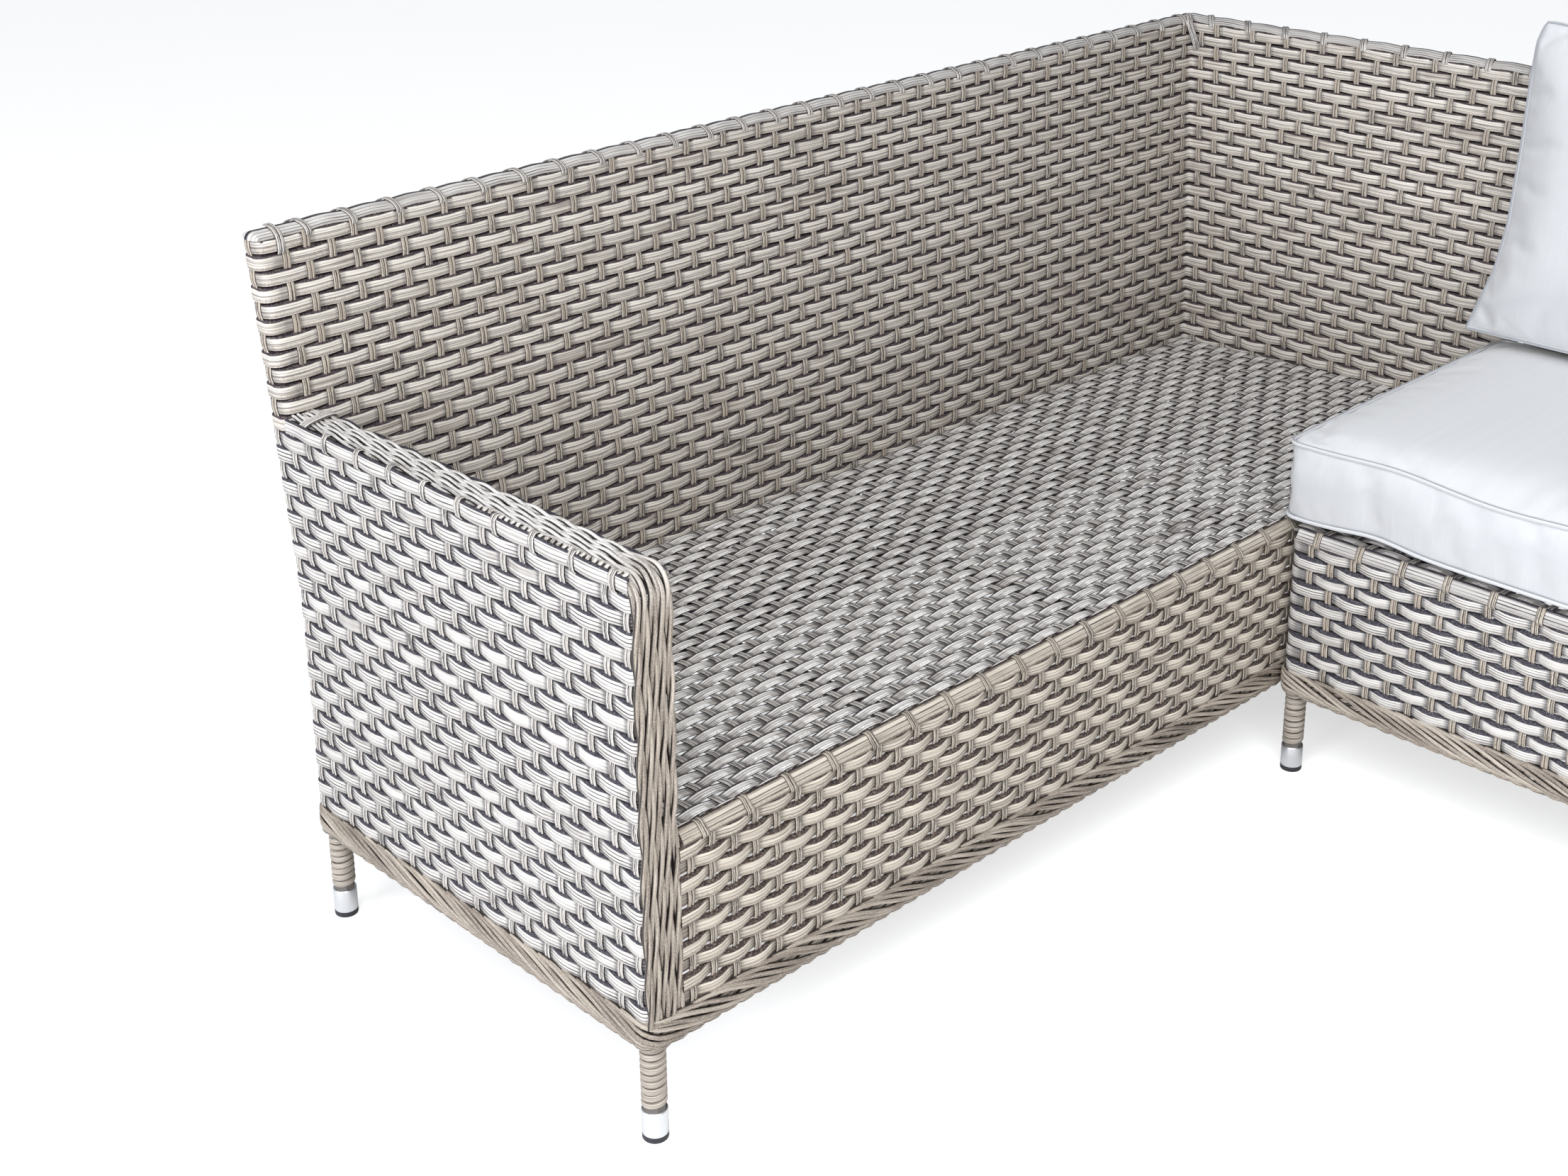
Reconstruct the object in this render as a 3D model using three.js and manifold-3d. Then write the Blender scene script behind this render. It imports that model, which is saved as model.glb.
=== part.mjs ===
// Woven corner sofa for the garden: a long module with an arm at its left end and a corner at its right,
// a return module that comes forward at the right, and the return's loose seat and back cushions.
// Millimetres, +Z up, +X along the long module, +Y towards its back, floor at z = 0.
import * as THREE from 'three';
import { mergeVertices } from 'three/addons/utils/BufferGeometryUtils.js';
import Module from 'manifold-3d';

const wasm = await Module();
wasm.setup();

// Overall sizes
const returnX = 1089; // where the return module's front face stands
const returnLength = 1080;
const moduleGap = 9; // between the long module's front face and the return
const baseDepth = 604;
const topHeight = 845;
const armHeight = 641;
const seatFrontHeight = 351;
const seatRearHeight = 331;
const borderBottom = 121;
const borderHeight = 30;
const backThickness = 37;
const armWidth = 50;

// The back stands upright to leanStart, then curves into its full slope at leanFull
const leanStart = 375;
const leanFull = 475;
const leanSlope = 0.135;

// Woven skins, tubes and clearances
const skin = 4;
const clear = 0.3;
const tubeRadius = 12;
const barRadius = 10;
const tubeInset = backThickness / 2; // tube axes lie this far inside the woven faces
const cordLayer = 6;
const armCornerRadius = 28;
const topEdgeRadius = 13;
const borderProud = 4;
const skinBottom = borderBottom + borderHeight + clear;
const baseRailHeight = 137;

// Legs
const capHeight = 30;
const footHeight = 6;
const legWrapRadius = 14.4;
const capRadius = 14.1;
const footFlatRadius = 9;

// Cushions
const seatCushion = { width: 522, depth: 546, bottom: 353, height: 125, crown: 14, drawIn: 5 };
const backCushion = { width: 522, height: 445, thickness: 108, edge: 9, drawIn: 13 };
const backCushionTilt = THREE.MathUtils.degToRad(15);

const longLength = returnX + baseDepth;
const seatDepth = baseDepth - backThickness;
const padUnderside = armHeight - cordLayer;

const finishes = {
  weave: new THREE.MeshStandardMaterial({ color: 0xb9b2a6, roughness: 0.55, metalness: 0 }),
  cord: new THREE.MeshStandardMaterial({ color: 0xa39a8c, roughness: 0.5, metalness: 0 }),
  frame: new THREE.MeshStandardMaterial({ color: 0x55514c, roughness: 0.5, metalness: 0.6 }),
  cap: new THREE.MeshStandardMaterial({ color: 0xc9cacb, roughness: 0.35, metalness: 1 }),
  foot: new THREE.MeshStandardMaterial({ color: 0x15161a, roughness: 0.5, metalness: 0 }),
  fabric: new THREE.MeshStandardMaterial({ color: 0xd9dbde, roughness: 0.9, metalness: 0 }),
};

const sofa = new THREE.Group();
const longModule = new THREE.Group();
const returnModule = new THREE.Group(); // its own X runs towards the viewer, its Y towards the right wall
returnModule.position.set(returnX, -moduleGap, 0);
returnModule.rotation.z = -Math.PI / 2;
const wallRun = new THREE.Group(); // the long module's right wall, turned as the return is
wallRun.position.set(returnX, 0, 0);
wallRun.rotation.z = -Math.PI / 2;
longModule.add(wallRun);
sofa.add(longModule, returnModule);

function addPiece(group, name, geometry, finish) {
  const mesh = new THREE.Mesh(geometry, finish);
  mesh.name = name;
  group.add(mesh);
  return mesh;
}

function lean(z) {
  const blend = leanFull - leanStart;
  if (z <= leanStart) return 0;
  if (z <= leanFull) return (leanSlope * (z - leanStart) ** 2) / (2 * blend);
  return leanSlope * (blend / 2 + z - leanFull);
}

function seatHeight(v) {
  return seatFrontHeight + ((seatRearHeight - seatFrontHeight) * v) / seatDepth;
}

// Closed solids to and from manifold-3d

function toSolid(geometry) {
  const plain = geometry.clone();
  plain.deleteAttribute('normal');
  plain.deleteAttribute('uv');
  const merged = mergeVertices(plain, 1e-4);
  return new wasm.Manifold(
    new wasm.Mesh({
      numProp: 3,
      vertProperties: new Float32Array(merged.attributes.position.array),
      triVerts: new Uint32Array(merged.index.array),
    }),
  );
}

function toGeometry(solid) {
  const mesh = solid.getMesh();
  const geometry = new THREE.BufferGeometry();
  geometry.setAttribute('position', new THREE.BufferAttribute(new Float32Array(mesh.vertProperties), 3));
  geometry.setIndex(new THREE.BufferAttribute(new Uint32Array(mesh.triVerts), 1));
  geometry.computeVertexNormals();
  return geometry;
}

function joined(geometries) {
  const solids = geometries.map(toSolid);
  return toGeometry(solids.slice(1).reduce((all, next) => all.add(next), solids[0]));
}

// Everything on the side where x * nx + y * ny is over reach, as one big block
function halfSpace(nx, ny, reach) {
  const size = 5000;
  const block = new THREE.BoxGeometry(size, size, size);
  block.translate(size / 2 + reach / Math.hypot(nx, ny), 0, 0);
  block.rotateZ(Math.atan2(ny, nx));
  return toSolid(block);
}

function box(x0, x1, y0, y1, z0, z1) {
  const geometry = new THREE.BoxGeometry(x1 - x0, y1 - y0, z1 - z0);
  return geometry.translate((x0 + x1) / 2, (y0 + y1) / 2, (z0 + z1) / 2);
}

// An outline drawn in the plane of depth and height, carried along the run from u0 to u1
function alongRun(outline, u0, u1) {
  const shape = new THREE.Shape(outline.map(([v, z]) => new THREE.Vector2(v, z)));
  const geometry = new THREE.ExtrudeGeometry(shape, { depth: u1 - u0, bevelEnabled: false });
  const basis = new THREE.Matrix4().makeBasis(
    new THREE.Vector3(0, 1, 0),
    new THREE.Vector3(0, 0, 1),
    new THREE.Vector3(1, 0, 0),
  );
  return geometry.applyMatrix4(basis).translate(u0, 0, 0);
}

// Heights at which a leaning edge gets a point
function leanHeights(from, to) {
  const bend = [0, 0.34, 0.67, 1].map((t) => leanStart + t * (leanFull - leanStart));
  return [from, ...bend.filter((z) => z > from + 1 && z < to - 1), to];
}

function arcPoints(cx, cy, radius, from, to, steps) {
  return Array.from({ length: steps + 1 }, (_, i) => {
    const angle = from + ((to - from) * i) / steps;
    return [cx + radius * Math.cos(angle), cy + radius * Math.sin(angle)];
  });
}

// The outline of the back, seen from its end: front face up, over the rounded top, down the rear face
function backOutline(inset, frontBottom, rearBottom) {
  const front = seatDepth + inset;
  const rear = baseDepth - inset;
  const radius = topEdgeRadius - inset;
  const shoulder = topHeight - topEdgeRadius;
  const slant = lean(shoulder);
  return [
    ...leanHeights(frontBottom, shoulder).map((z) => [front + lean(z), z]),
    ...arcPoints(front + slant + radius, shoulder, radius, Math.PI, Math.PI / 2, 3).slice(1),
    ...arcPoints(rear + slant - radius, shoulder, radius, Math.PI / 2, 0, 3),
    ...leanHeights(rearBottom, shoulder).reverse().slice(1).map((z) => [rear + lean(z), z]),
  ];
}

const skirtBottom = seatRearHeight + clear; // the front skin ends where the deck meets it

// A hollow woven back: one skin in front, over the top and down behind, with the ends closed where asked
function backShell(u0, u1, plates) {
  const outer = backOutline(0, skirtBottom, skinBottom);
  const inner = backOutline(skin, skirtBottom, skinBottom).reverse();
  const solids = [alongRun([...outer, ...inner], u0, u1)];
  for (const [from, to, bottom] of plates) {
    solids.push(alongRun(backOutline(0, bottom, bottom), from, to));
  }
  return joined(solids);
}

const armRailZ = padUnderside - 1 - tubeRadius;

// The hole in the back's front skin where the arm's rail goes through to the stile behind it
function railPort(u) {
  const reach = tubeRadius + 2 * clear;
  const front = seatDepth + lean(armRailZ);
  return toSolid(box(u - reach, u + reach, front - 8, front + 12, armRailZ - reach, armRailZ + reach));
}

// Long module: skins

const mitreGap = clear;
const backSolid = toSolid(
  backShell(skin + clear, longLength + 100, [[0, skin + clear + 1, padUnderside]]),
);
const backCut = backSolid.subtract(halfSpace(1, -1, returnX - mitreGap)).subtract(railPort(tubeInset));
addPiece(longModule, 'long_back_weave', toGeometry(backCut), finishes.weave);

const wallSolid = toSolid(backShell(-baseDepth - 100, -skin - clear, [[-skin - clear - 1, 0, skinBottom]]));
const belowDeck = alongRun(
  [
    [-10, 0],
    [seatDepth, 0],
    [seatDepth, seatRearHeight + clear],
    [-10, seatHeight(-10) + clear],
  ],
  longLength - backThickness - 10,
  longLength - backThickness + skin + clear,
);
belowDeck.translate(-returnX, 0, 0).rotateZ(Math.PI / 2); // into the wall run's own axes
const wallCut = wallSolid.subtract(halfSpace(-1, -1, -mitreGap)).subtract(toSolid(belowDeck));
addPiece(wallRun, 'corner_wall_weave', toGeometry(wallCut), finishes.weave);

addPiece(
  longModule,
  'long_apron_weave',
  box(armWidth + clear, longLength - backThickness - clear, 0, skin, skinBottom, seatFrontHeight - skin - clear),
  finishes.weave,
);

function deckOutline() {
  const rear = seatDepth - clear;
  return [
    [0, seatFrontHeight - skin],
    [rear, seatHeight(rear) - skin],
    [rear, seatHeight(rear)],
    [0, seatFrontHeight],
  ];
}

const deckStart = armWidth - 6;
addPiece(
  longModule,
  'long_seat_weave',
  toGeometry(
    toSolid(alongRun(deckOutline(), deckStart, longLength - backThickness - clear)).subtract(
      toSolid(box(0, armWidth + clear, -1, cordLayer + clear, 0, topHeight)),
    ),
  ),
  finishes.weave,
);

// The arm box: outer skin, inner skin, and the cord-covered pad that runs forward and down the front

function armOuterOutline() {
  const edge = padUnderside - clear;
  const front = cordLayer + clear;
  const inside = armCornerRadius - cordLayer - clear;
  return [
    [front, skinBottom],
    ...leanHeights(skinBottom, edge).map((z) => [baseDepth + lean(z), z]),
    ...arcPoints(front + inside, edge - inside, inside, Math.PI / 2, Math.PI, 3),
  ];
}

function armInnerOutline() {
  const edge = padUnderside - clear;
  const front = cordLayer + clear;
  const inside = armCornerRadius - cordLayer - clear;
  const rear = seatDepth - clear;
  return [
    [front, seatHeight(front) + clear],
    [rear, seatHeight(rear) + clear],
    ...leanHeights(seatHeight(rear) + clear, edge).slice(1).map((z) => [rear + lean(z), z]),
    ...arcPoints(front + inside, edge - inside, inside, Math.PI / 2, Math.PI, 3),
  ];
}

function armPadOutline() {
  const rear = seatDepth - clear;
  const inside = armCornerRadius - cordLayer;
  const centre = [armCornerRadius, armHeight - armCornerRadius];
  return [
    [0, skinBottom],
    [cordLayer, skinBottom],
    ...arcPoints(...centre, inside, Math.PI, Math.PI / 2, 5),
    [rear + lean(padUnderside), padUnderside],
    [rear + lean(armHeight), armHeight],
    ...arcPoints(...centre, armCornerRadius, Math.PI / 2, Math.PI, 5),
  ];
}

// side is 1 where the arm's outer face looks towards lower u, -1 where it looks the other way
function addArm(group, prefix, outerU, side) {
  const span = (a, b) => (side > 0 ? [outerU + a, outerU + b] : [outerU - b, outerU - a]);
  addPiece(group, `${prefix}_arm_outer_weave`, alongRun(armOuterOutline(), ...span(0, skin)), finishes.weave);
  addPiece(
    group,
    `${prefix}_arm_inner_weave`,
    alongRun(armInnerOutline(), ...span(armWidth - skin, armWidth)),
    finishes.weave,
  );
  addPiece(group, `${prefix}_arm_cords`, alongRun(armPadOutline(), ...span(0, armWidth)), finishes.cord);
}

addArm(longModule, 'long', 0, 1);

// Return module: skins

const returnBack = backShell(skin + clear, returnLength - skin - clear, [
  [0, skin + clear + 1, skinBottom],
  [returnLength - skin - clear - 1, returnLength, padUnderside],
]);
addPiece(
  returnModule,
  'return_back_weave',
  toGeometry(toSolid(returnBack).subtract(railPort(returnLength - tubeInset))),
  finishes.weave,
);
addPiece(
  returnModule,
  'return_apron_weave',
  box(0, returnLength - armWidth - clear, 0, skin, skinBottom, seatFrontHeight - skin - clear),
  finishes.weave,
);
addPiece(
  returnModule,
  'return_end_weave',
  alongRun(
    [
      [skin + clear, skinBottom],
      [seatDepth - clear, skinBottom],
      [seatDepth - clear, seatHeight(seatDepth) - skin - clear],
      [skin + clear, seatHeight(skin) - skin - 2 * clear],
    ],
    0,
    skin,
  ),
  finishes.weave,
);
addPiece(
  returnModule,
  'return_seat_weave',
  toGeometry(
    toSolid(alongRun(deckOutline(), 0, returnLength - deckStart)).subtract(
      toSolid(box(returnLength - armWidth - clear, returnLength, -1, cordLayer + clear, 0, topHeight)),
    ),
  ),
  finishes.weave,
);
addArm(returnModule, 'return', returnLength, -1);

// The corded border round the foot of each module

function borderRing(length) {
  const outer = roundedRectangle(-borderProud, -borderProud, length + borderProud, baseDepth + borderProud, 20);
  const depthIn = tubeInset - tubeRadius - 2 * clear;
  outer.holes.push(roundedRectangle(depthIn, depthIn, length - depthIn, baseDepth - depthIn, 12));
  const ring = new THREE.ExtrudeGeometry(outer, {
    depth: borderHeight,
    bevelEnabled: false,
    curveSegments: 4,
  });
  return ring.translate(0, 0, borderBottom);
}

function roundedRectangle(x0, y0, x1, y1, radius) {
  const shape = new THREE.Shape();
  shape.moveTo(x0 + radius, y0);
  shape.lineTo(x1 - radius, y0);
  shape.absarc(x1 - radius, y0 + radius, radius, -Math.PI / 2, 0);
  shape.lineTo(x1, y1 - radius);
  shape.absarc(x1 - radius, y1 - radius, radius, 0, Math.PI / 2);
  shape.lineTo(x0 + radius, y1);
  shape.absarc(x0 + radius, y1 - radius, radius, Math.PI / 2, Math.PI);
  shape.lineTo(x0, y0 + radius);
  shape.absarc(x0 + radius, y0 + radius, radius, Math.PI, Math.PI * 1.5);
  return shape;
}

addPiece(longModule, 'long_border', borderRing(longLength), finishes.cord);
addPiece(returnModule, 'return_border', borderRing(returnLength), finishes.cord);

// Tube frames

// A closed tube through a few points, mitred at each bend
function tubeRun(points, radius) {
  const sides = 8;
  const positions = [];
  const index = [];
  const steps = points.slice(1).map((p, i) => p.clone().sub(points[i]).normalize());
  const across = new THREE.Vector3(0, 0, 1).cross(steps[0]);
  if (across.length() < 0.1) across.set(1, 0, 0).cross(steps[0]);
  across.normalize();
  points.forEach((point, i) => {
    const before = steps[Math.max(i - 1, 0)];
    const after = steps[Math.min(i, steps.length - 1)];
    const mitre = before.clone().add(after).normalize();
    const up = before.clone().cross(across).normalize();
    for (let k = 0; k < sides; k++) {
      const angle = ((k + 0.5) / sides) * 2 * Math.PI;
      const spoke = across.clone().multiplyScalar(radius * Math.cos(angle));
      spoke.addScaledVector(up, radius * Math.sin(angle));
      spoke.addScaledVector(before, -spoke.dot(mitre) / before.dot(mitre)); // slide onto the mitre plane
      positions.push(...point.clone().add(spoke).toArray());
    }
    const turn = new THREE.Quaternion().setFromUnitVectors(before, after);
    across.applyQuaternion(turn);
  });
  const at = (ringNumber, k) => ringNumber * sides + (k % sides);
  for (let i = 0; i < points.length - 1; i++) {
    for (let k = 0; k < sides; k++) {
      index.push(at(i, k), at(i, k + 1), at(i + 1, k + 1), at(i, k), at(i + 1, k + 1), at(i + 1, k));
    }
  }
  const last = points.length - 1;
  for (let k = 1; k < sides - 1; k++) {
    index.push(at(0, 0), at(0, k + 1), at(0, k), at(last, 0), at(last, k), at(last, k + 1));
  }
  const geometry = new THREE.BufferGeometry();
  geometry.setAttribute('position', new THREE.Float32BufferAttribute(positions, 3));
  geometry.setIndex(index);
  return geometry;
}

const P = (x, y, z) => new THREE.Vector3(x, y, z);
const deckRailDrop = skin + clear + tubeRadius + 0.5;
const frontRailZ = seatHeight(tubeInset) - deckRailDrop;
const rearRailZ = seatHeight(seatDepth) - deckRailDrop - 2;
const rearV = baseDepth - tubeInset;
const topRailZ = topHeight - skin - 1 - tubeRadius;
const backRailZ = rearRailZ + 52;
const postSplit = 346; // the seat frame stops here and the upper frame starts

// The seat frame: posts, a rail round the foot, rails under the deck's edge and bars across
function seatFrame(length, bars) {
  const uLow = tubeInset;
  const uHigh = length - tubeInset;
  const ends = [uLow, uHigh];
  const parts = [];
  for (const u of ends) {
    parts.push(tubeRun([P(u, tubeInset, footHeight + 2), P(u, tubeInset, postSplit - clear)], tubeRadius));
    parts.push(tubeRun([P(u, rearV, footHeight + 2), P(u, rearV, postSplit - clear)], tubeRadius));
    parts.push(tubeRun([P(u, tubeInset, baseRailHeight), P(u, rearV, baseRailHeight)], tubeRadius));
    parts.push(tubeRun([P(u, tubeInset, frontRailZ), P(u, rearV, rearRailZ)], tubeRadius));
  }
  for (const v of [tubeInset, rearV]) {
    const z = v === tubeInset ? frontRailZ : rearRailZ;
    parts.push(tubeRun([P(uLow, v, baseRailHeight), P(uHigh, v, baseRailHeight)], tubeRadius));
    parts.push(tubeRun([P(uLow, v, z), P(uHigh, v, z)], tubeRadius));
  }
  for (const u of bars) {
    parts.push(tubeRun([P(u, tubeInset, frontRailZ), P(u, rearV, rearRailZ)], barRadius));
  }
  return joined(parts);
}

const longBars = [392, 740, 1089, 1390];
const returnBars = [270, 540, 800];
const longStiles = [565, 1110];
addPiece(longModule, 'long_seat_frame', seatFrame(longLength, longBars), finishes.frame);
addPiece(returnModule, 'return_seat_frame', seatFrame(returnLength, returnBars), finishes.frame);

// A stile rises from the seat frame through the bend of the back; leanU carries it sideways at a corner
function stile(u, v, leanU, leanV, top) {
  const heights = [postSplit + clear, leanStart, (leanStart + leanFull) / 2, leanFull, top];
  return tubeRun(heights.map((z) => P(u + leanU * lean(z), v + leanV * lean(z), z)), tubeRadius);
}

// The upper frame of the long module: arm loop, back stiles, corner stile, wall stile and top rails
function longUpperFrame() {
  const wallU = longLength - tubeInset;
  const topLean = lean(topRailZ);
  const corner = P(wallU + topLean, rearV + topLean, topRailZ);
  return joined([
    stile(tubeInset, rearV, 0, 1, topRailZ),
    ...longStiles.map((u) => stile(u, rearV, 0, 1, topRailZ)),
    stile(wallU, rearV, 1, 1, topRailZ),
    stile(wallU, tubeInset, 1, 0, topRailZ),
    tubeRun(
      [P(tubeInset, rearV + topLean, topRailZ), corner, P(wallU + topLean, tubeInset, topRailZ)],
      tubeRadius,
    ),
    tubeRun(
      [
        P(tubeInset, tubeInset, postSplit + clear),
        P(tubeInset, tubeInset, armRailZ - 18),
        P(tubeInset, tubeInset + 6, armRailZ - 6),
        P(tubeInset, tubeInset + 18, armRailZ),
        P(tubeInset, rearV + lean(armRailZ), armRailZ),
      ],
      tubeRadius,
    ),
    tubeRun([P(tubeInset, rearV, backRailZ), P(wallU, rearV, backRailZ)], barRadius),
    tubeRun([P(wallU, rearV, backRailZ), P(wallU, tubeInset, backRailZ)], barRadius),
  ]);
}

function returnUpperFrame() {
  const armU = returnLength - tubeInset;
  const topLean = lean(topRailZ);
  return joined([
    ...[tubeInset, returnLength / 2, armU].map((u) => stile(u, rearV, 0, 1, topRailZ)),
    tubeRun([P(tubeInset, rearV + topLean, topRailZ), P(armU, rearV + topLean, topRailZ)], tubeRadius),
    tubeRun(
      [
        P(armU, tubeInset, postSplit + clear),
        P(armU, tubeInset, armRailZ - 18),
        P(armU, tubeInset + 6, armRailZ - 6),
        P(armU, tubeInset + 18, armRailZ),
        P(armU, rearV + lean(armRailZ), armRailZ),
      ],
      tubeRadius,
    ),
    tubeRun([P(tubeInset, rearV, backRailZ), P(armU, rearV, backRailZ)], barRadius),
  ]);
}

addPiece(longModule, 'long_upper_frame', longUpperFrame(), finishes.frame);
addPiece(returnModule, 'return_upper_frame', returnUpperFrame(), finishes.frame);

// Legs: wicker winding, metal cap and plastic glide on each post

function ring(inner, outer, z0, z1) {
  const profile = [[inner, z0], [outer, z0], [outer, z1], [inner, z1], [inner, z0]];
  const geometry = new THREE.LatheGeometry(profile.map(([r, z]) => new THREE.Vector2(r, z)), 12);
  return geometry.rotateX(Math.PI / 2);
}

function glide() {
  const rim = capRadius;
  const profile = [
    [0, 0],
    [footFlatRadius, 0],
    [rim - 1.6, 1.4],
    [rim, footHeight - 2],
    [rim, footHeight],
    [tubeRadius, footHeight],
    [tubeRadius, footHeight + 2 - clear],
    [0, footHeight + 2 - clear],
  ];
  const geometry = new THREE.LatheGeometry(profile.map(([r, z]) => new THREE.Vector2(r, z)), 12);
  return geometry.rotateX(Math.PI / 2);
}

function addLegs(group, prefix, length) {
  const corners = [
    ['a', tubeInset, tubeInset],
    ['b', tubeInset, rearV],
    ['c', length - tubeInset, rearV],
    ['d', length - tubeInset, tubeInset],
  ];
  const capTop = footHeight + clear + capHeight;
  for (const [letter, u, v] of corners) {
    const bore = tubeRadius + 3 * clear;
    const winding = ring(bore, legWrapRadius, capTop + clear, borderBottom - clear);
    const cap = ring(bore, capRadius, footHeight + clear, capTop);
    const pieces = [
      ['winding', winding, finishes.cord],
      ['cap', cap, finishes.cap],
      ['glide', glide(), finishes.foot],
    ];
    for (const [kind, geometry, finish] of pieces) {
      addPiece(group, `${prefix}_leg_${letter}_${kind}`, geometry, finish).position.set(u, v, 0);
    }
  }
}

addLegs(longModule, 'long', longLength);
addLegs(returnModule, 'return', returnLength);

// Clips that hold the two modules together, hooked round both base rails from below

function joiningClip(x) {
  const thick = 2.6;
  const floor = borderBottom - clear;
  const farTube = -moduleGap - tubeInset - tubeRadius - 1;
  const nearTube = tubeInset + tubeRadius + 1;
  const top = baseRailHeight + tubeRadius + 1;
  const lip = 9;
  const outline = [
    [farTube - thick, floor - thick],
    [nearTube + thick, floor - thick],
    [nearTube + thick, top + thick],
    [nearTube - lip, top + thick],
    [nearTube - lip, top],
    [nearTube, top],
    [nearTube, floor],
    [farTube, floor],
    [farTube, top],
    [farTube + lip, top],
    [farTube + lip, top + thick],
    [farTube - thick, top + thick],
  ];
  return alongRun(outline, x - 15, x + 15);
}

addPiece(sofa, 'joining_clip_1', joiningClip(returnX + 170), finishes.cap);
addPiece(sofa, 'joining_clip_2', joiningClip(returnX + 430), finishes.cap);

// Cushions

// A closed pillow over a grid: height(s, t) gives the upper surface, depth(s, t) the lower one
function pillow(columns, rows, halfWidth, halfDepth, drawIn, height, depth) {
  const positions = [];
  const index = [];
  const at = (side, i, j) => (side * (rows + 1) + j) * (columns + 1) + i;
  const ease = (t) => Math.sin((t * Math.PI) / 2); // closer points near the edges
  for (const surface of [height, depth]) {
    for (let j = 0; j <= rows; j++) {
      for (let i = 0; i <= columns; i++) {
        const s = ease((2 * i) / columns - 1);
        const t = ease((2 * j) / rows - 1);
        const x = s * (halfWidth - drawIn * (1 - t * t));
        const y = t * (halfDepth - drawIn * (1 - s * s));
        positions.push(x, y, surface(s, t));
      }
    }
  }
  const quad = (a, b, c, d) => index.push(a, b, c, a, c, d);
  for (let j = 0; j < rows; j++) {
    for (let i = 0; i < columns; i++) {
      quad(at(0, i, j), at(0, i + 1, j), at(0, i + 1, j + 1), at(0, i, j + 1));
      quad(at(1, i, j), at(1, i, j + 1), at(1, i + 1, j + 1), at(1, i + 1, j));
    }
  }
  for (let i = 0; i < columns; i++) {
    quad(at(1, i, 0), at(1, i + 1, 0), at(0, i + 1, 0), at(0, i, 0));
    quad(at(1, i + 1, rows), at(1, i, rows), at(0, i, rows), at(0, i + 1, rows));
  }
  for (let j = 0; j < rows; j++) {
    quad(at(1, 0, j + 1), at(1, 0, j), at(0, 0, j), at(0, 0, j + 1));
    quad(at(1, columns, j), at(1, columns, j + 1), at(0, columns, j + 1), at(0, columns, j));
  }
  const geometry = new THREE.BufferGeometry();
  geometry.setAttribute('position', new THREE.Float32BufferAttribute(positions, 3));
  geometry.setIndex(index);
  geometry.computeVertexNormals();
  return geometry;
}

// How far a stuffed surface has risen, from 0 at the seam to 1 in the middle
function swell(s, t, power) {
  return ((1 - s ** 6) * (1 - t ** 6) * (1 - 0.35 * (s * s + t * t) / 2)) ** power;
}

function seatCushionSolid() {
  const { width, depth, height, crown, drawIn } = seatCushion;
  const edge = height - crown;
  const base = (s, t) => 4 * (1 - swell(s, t, 0.5)); // it rests on its middle, its lower edge just lifts
  return pillow(16, 16, depth / 2, width / 2, drawIn, (s, t) => edge + crown * swell(s, t, 0.6), base);
}

function backCushionSolid() {
  const { width, height, thickness, edge, drawIn } = backCushion;
  const half = (s, t) => edge / 2 + ((thickness - edge) / 2) * swell(s, t, 0.75) * (1 - 0.1 * s);
  return pillow(16, 16, height / 2, width / 2, drawIn, half, (s, t) => -half(s, t));
}

const cushionStart = 9; // the first seat cushion reaches just past the return's end
const pitch = seatCushion.width + 2;
const seatTop = seatCushion.bottom + seatCushion.height;
for (const place of [0, 1]) {
  const seatY = cushionStart - seatCushion.width / 2 - place * pitch;
  const seat = addPiece(sofa, `seat_cushion_${place + 1}`, seatCushionSolid(), finishes.fabric);
  seat.position.set(returnX + 12 + seatCushion.depth / 2, seatY, seatCushion.bottom);

  const back = addPiece(sofa, `back_cushion_${place + 1}`, backCushionSolid(), finishes.fabric);
  const rise = backCushion.height / 2;
  const foot = P(returnX + 476, seatY + 14 * (1 - place), seatTop + 21);
  const tilt = backCushionTilt;
  back.rotation.y = -(Math.PI / 2 - tilt); // its height runs up the wall, its front looks at the viewer
  back.position.set(foot.x + rise * Math.sin(tilt), foot.y, foot.z + rise * Math.cos(tilt));
}

// The origin goes to the middle of the footprint
sofa.updateMatrixWorld(true);
const extent = new THREE.Box3().setFromObject(sofa, true);
const middle = extent.getCenter(new THREE.Vector3());
sofa.position.set(-middle.x, -middle.y, 0);

export default sofa;
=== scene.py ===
import math

import bmesh
import bpy
import numpy as np
from mathutils import Matrix, Vector


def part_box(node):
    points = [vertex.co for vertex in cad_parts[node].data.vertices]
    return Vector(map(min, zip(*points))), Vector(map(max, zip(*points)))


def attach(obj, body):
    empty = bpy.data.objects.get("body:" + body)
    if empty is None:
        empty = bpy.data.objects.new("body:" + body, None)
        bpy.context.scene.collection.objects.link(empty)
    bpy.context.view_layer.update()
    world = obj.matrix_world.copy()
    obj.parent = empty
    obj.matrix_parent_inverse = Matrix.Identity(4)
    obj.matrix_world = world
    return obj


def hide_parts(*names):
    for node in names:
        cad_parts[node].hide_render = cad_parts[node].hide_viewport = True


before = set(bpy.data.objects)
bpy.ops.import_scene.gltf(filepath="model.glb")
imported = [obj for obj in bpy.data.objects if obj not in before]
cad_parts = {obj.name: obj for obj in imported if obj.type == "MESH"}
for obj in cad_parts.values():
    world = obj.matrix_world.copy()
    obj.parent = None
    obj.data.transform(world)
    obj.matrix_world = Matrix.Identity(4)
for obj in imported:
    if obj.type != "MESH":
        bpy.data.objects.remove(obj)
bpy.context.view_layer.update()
rng = np.random.default_rng(41)
scene = bpy.context.scene
scene.view_settings.view_transform = "Standard"

# Where the sofa's own millimetres start: the long module's outer left face, its front face and the floor
borderLow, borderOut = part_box("long_border")[0], 0.004
origin = np.array([borderLow[0] + borderOut, borderLow[1] + borderOut, 0.0])


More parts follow.
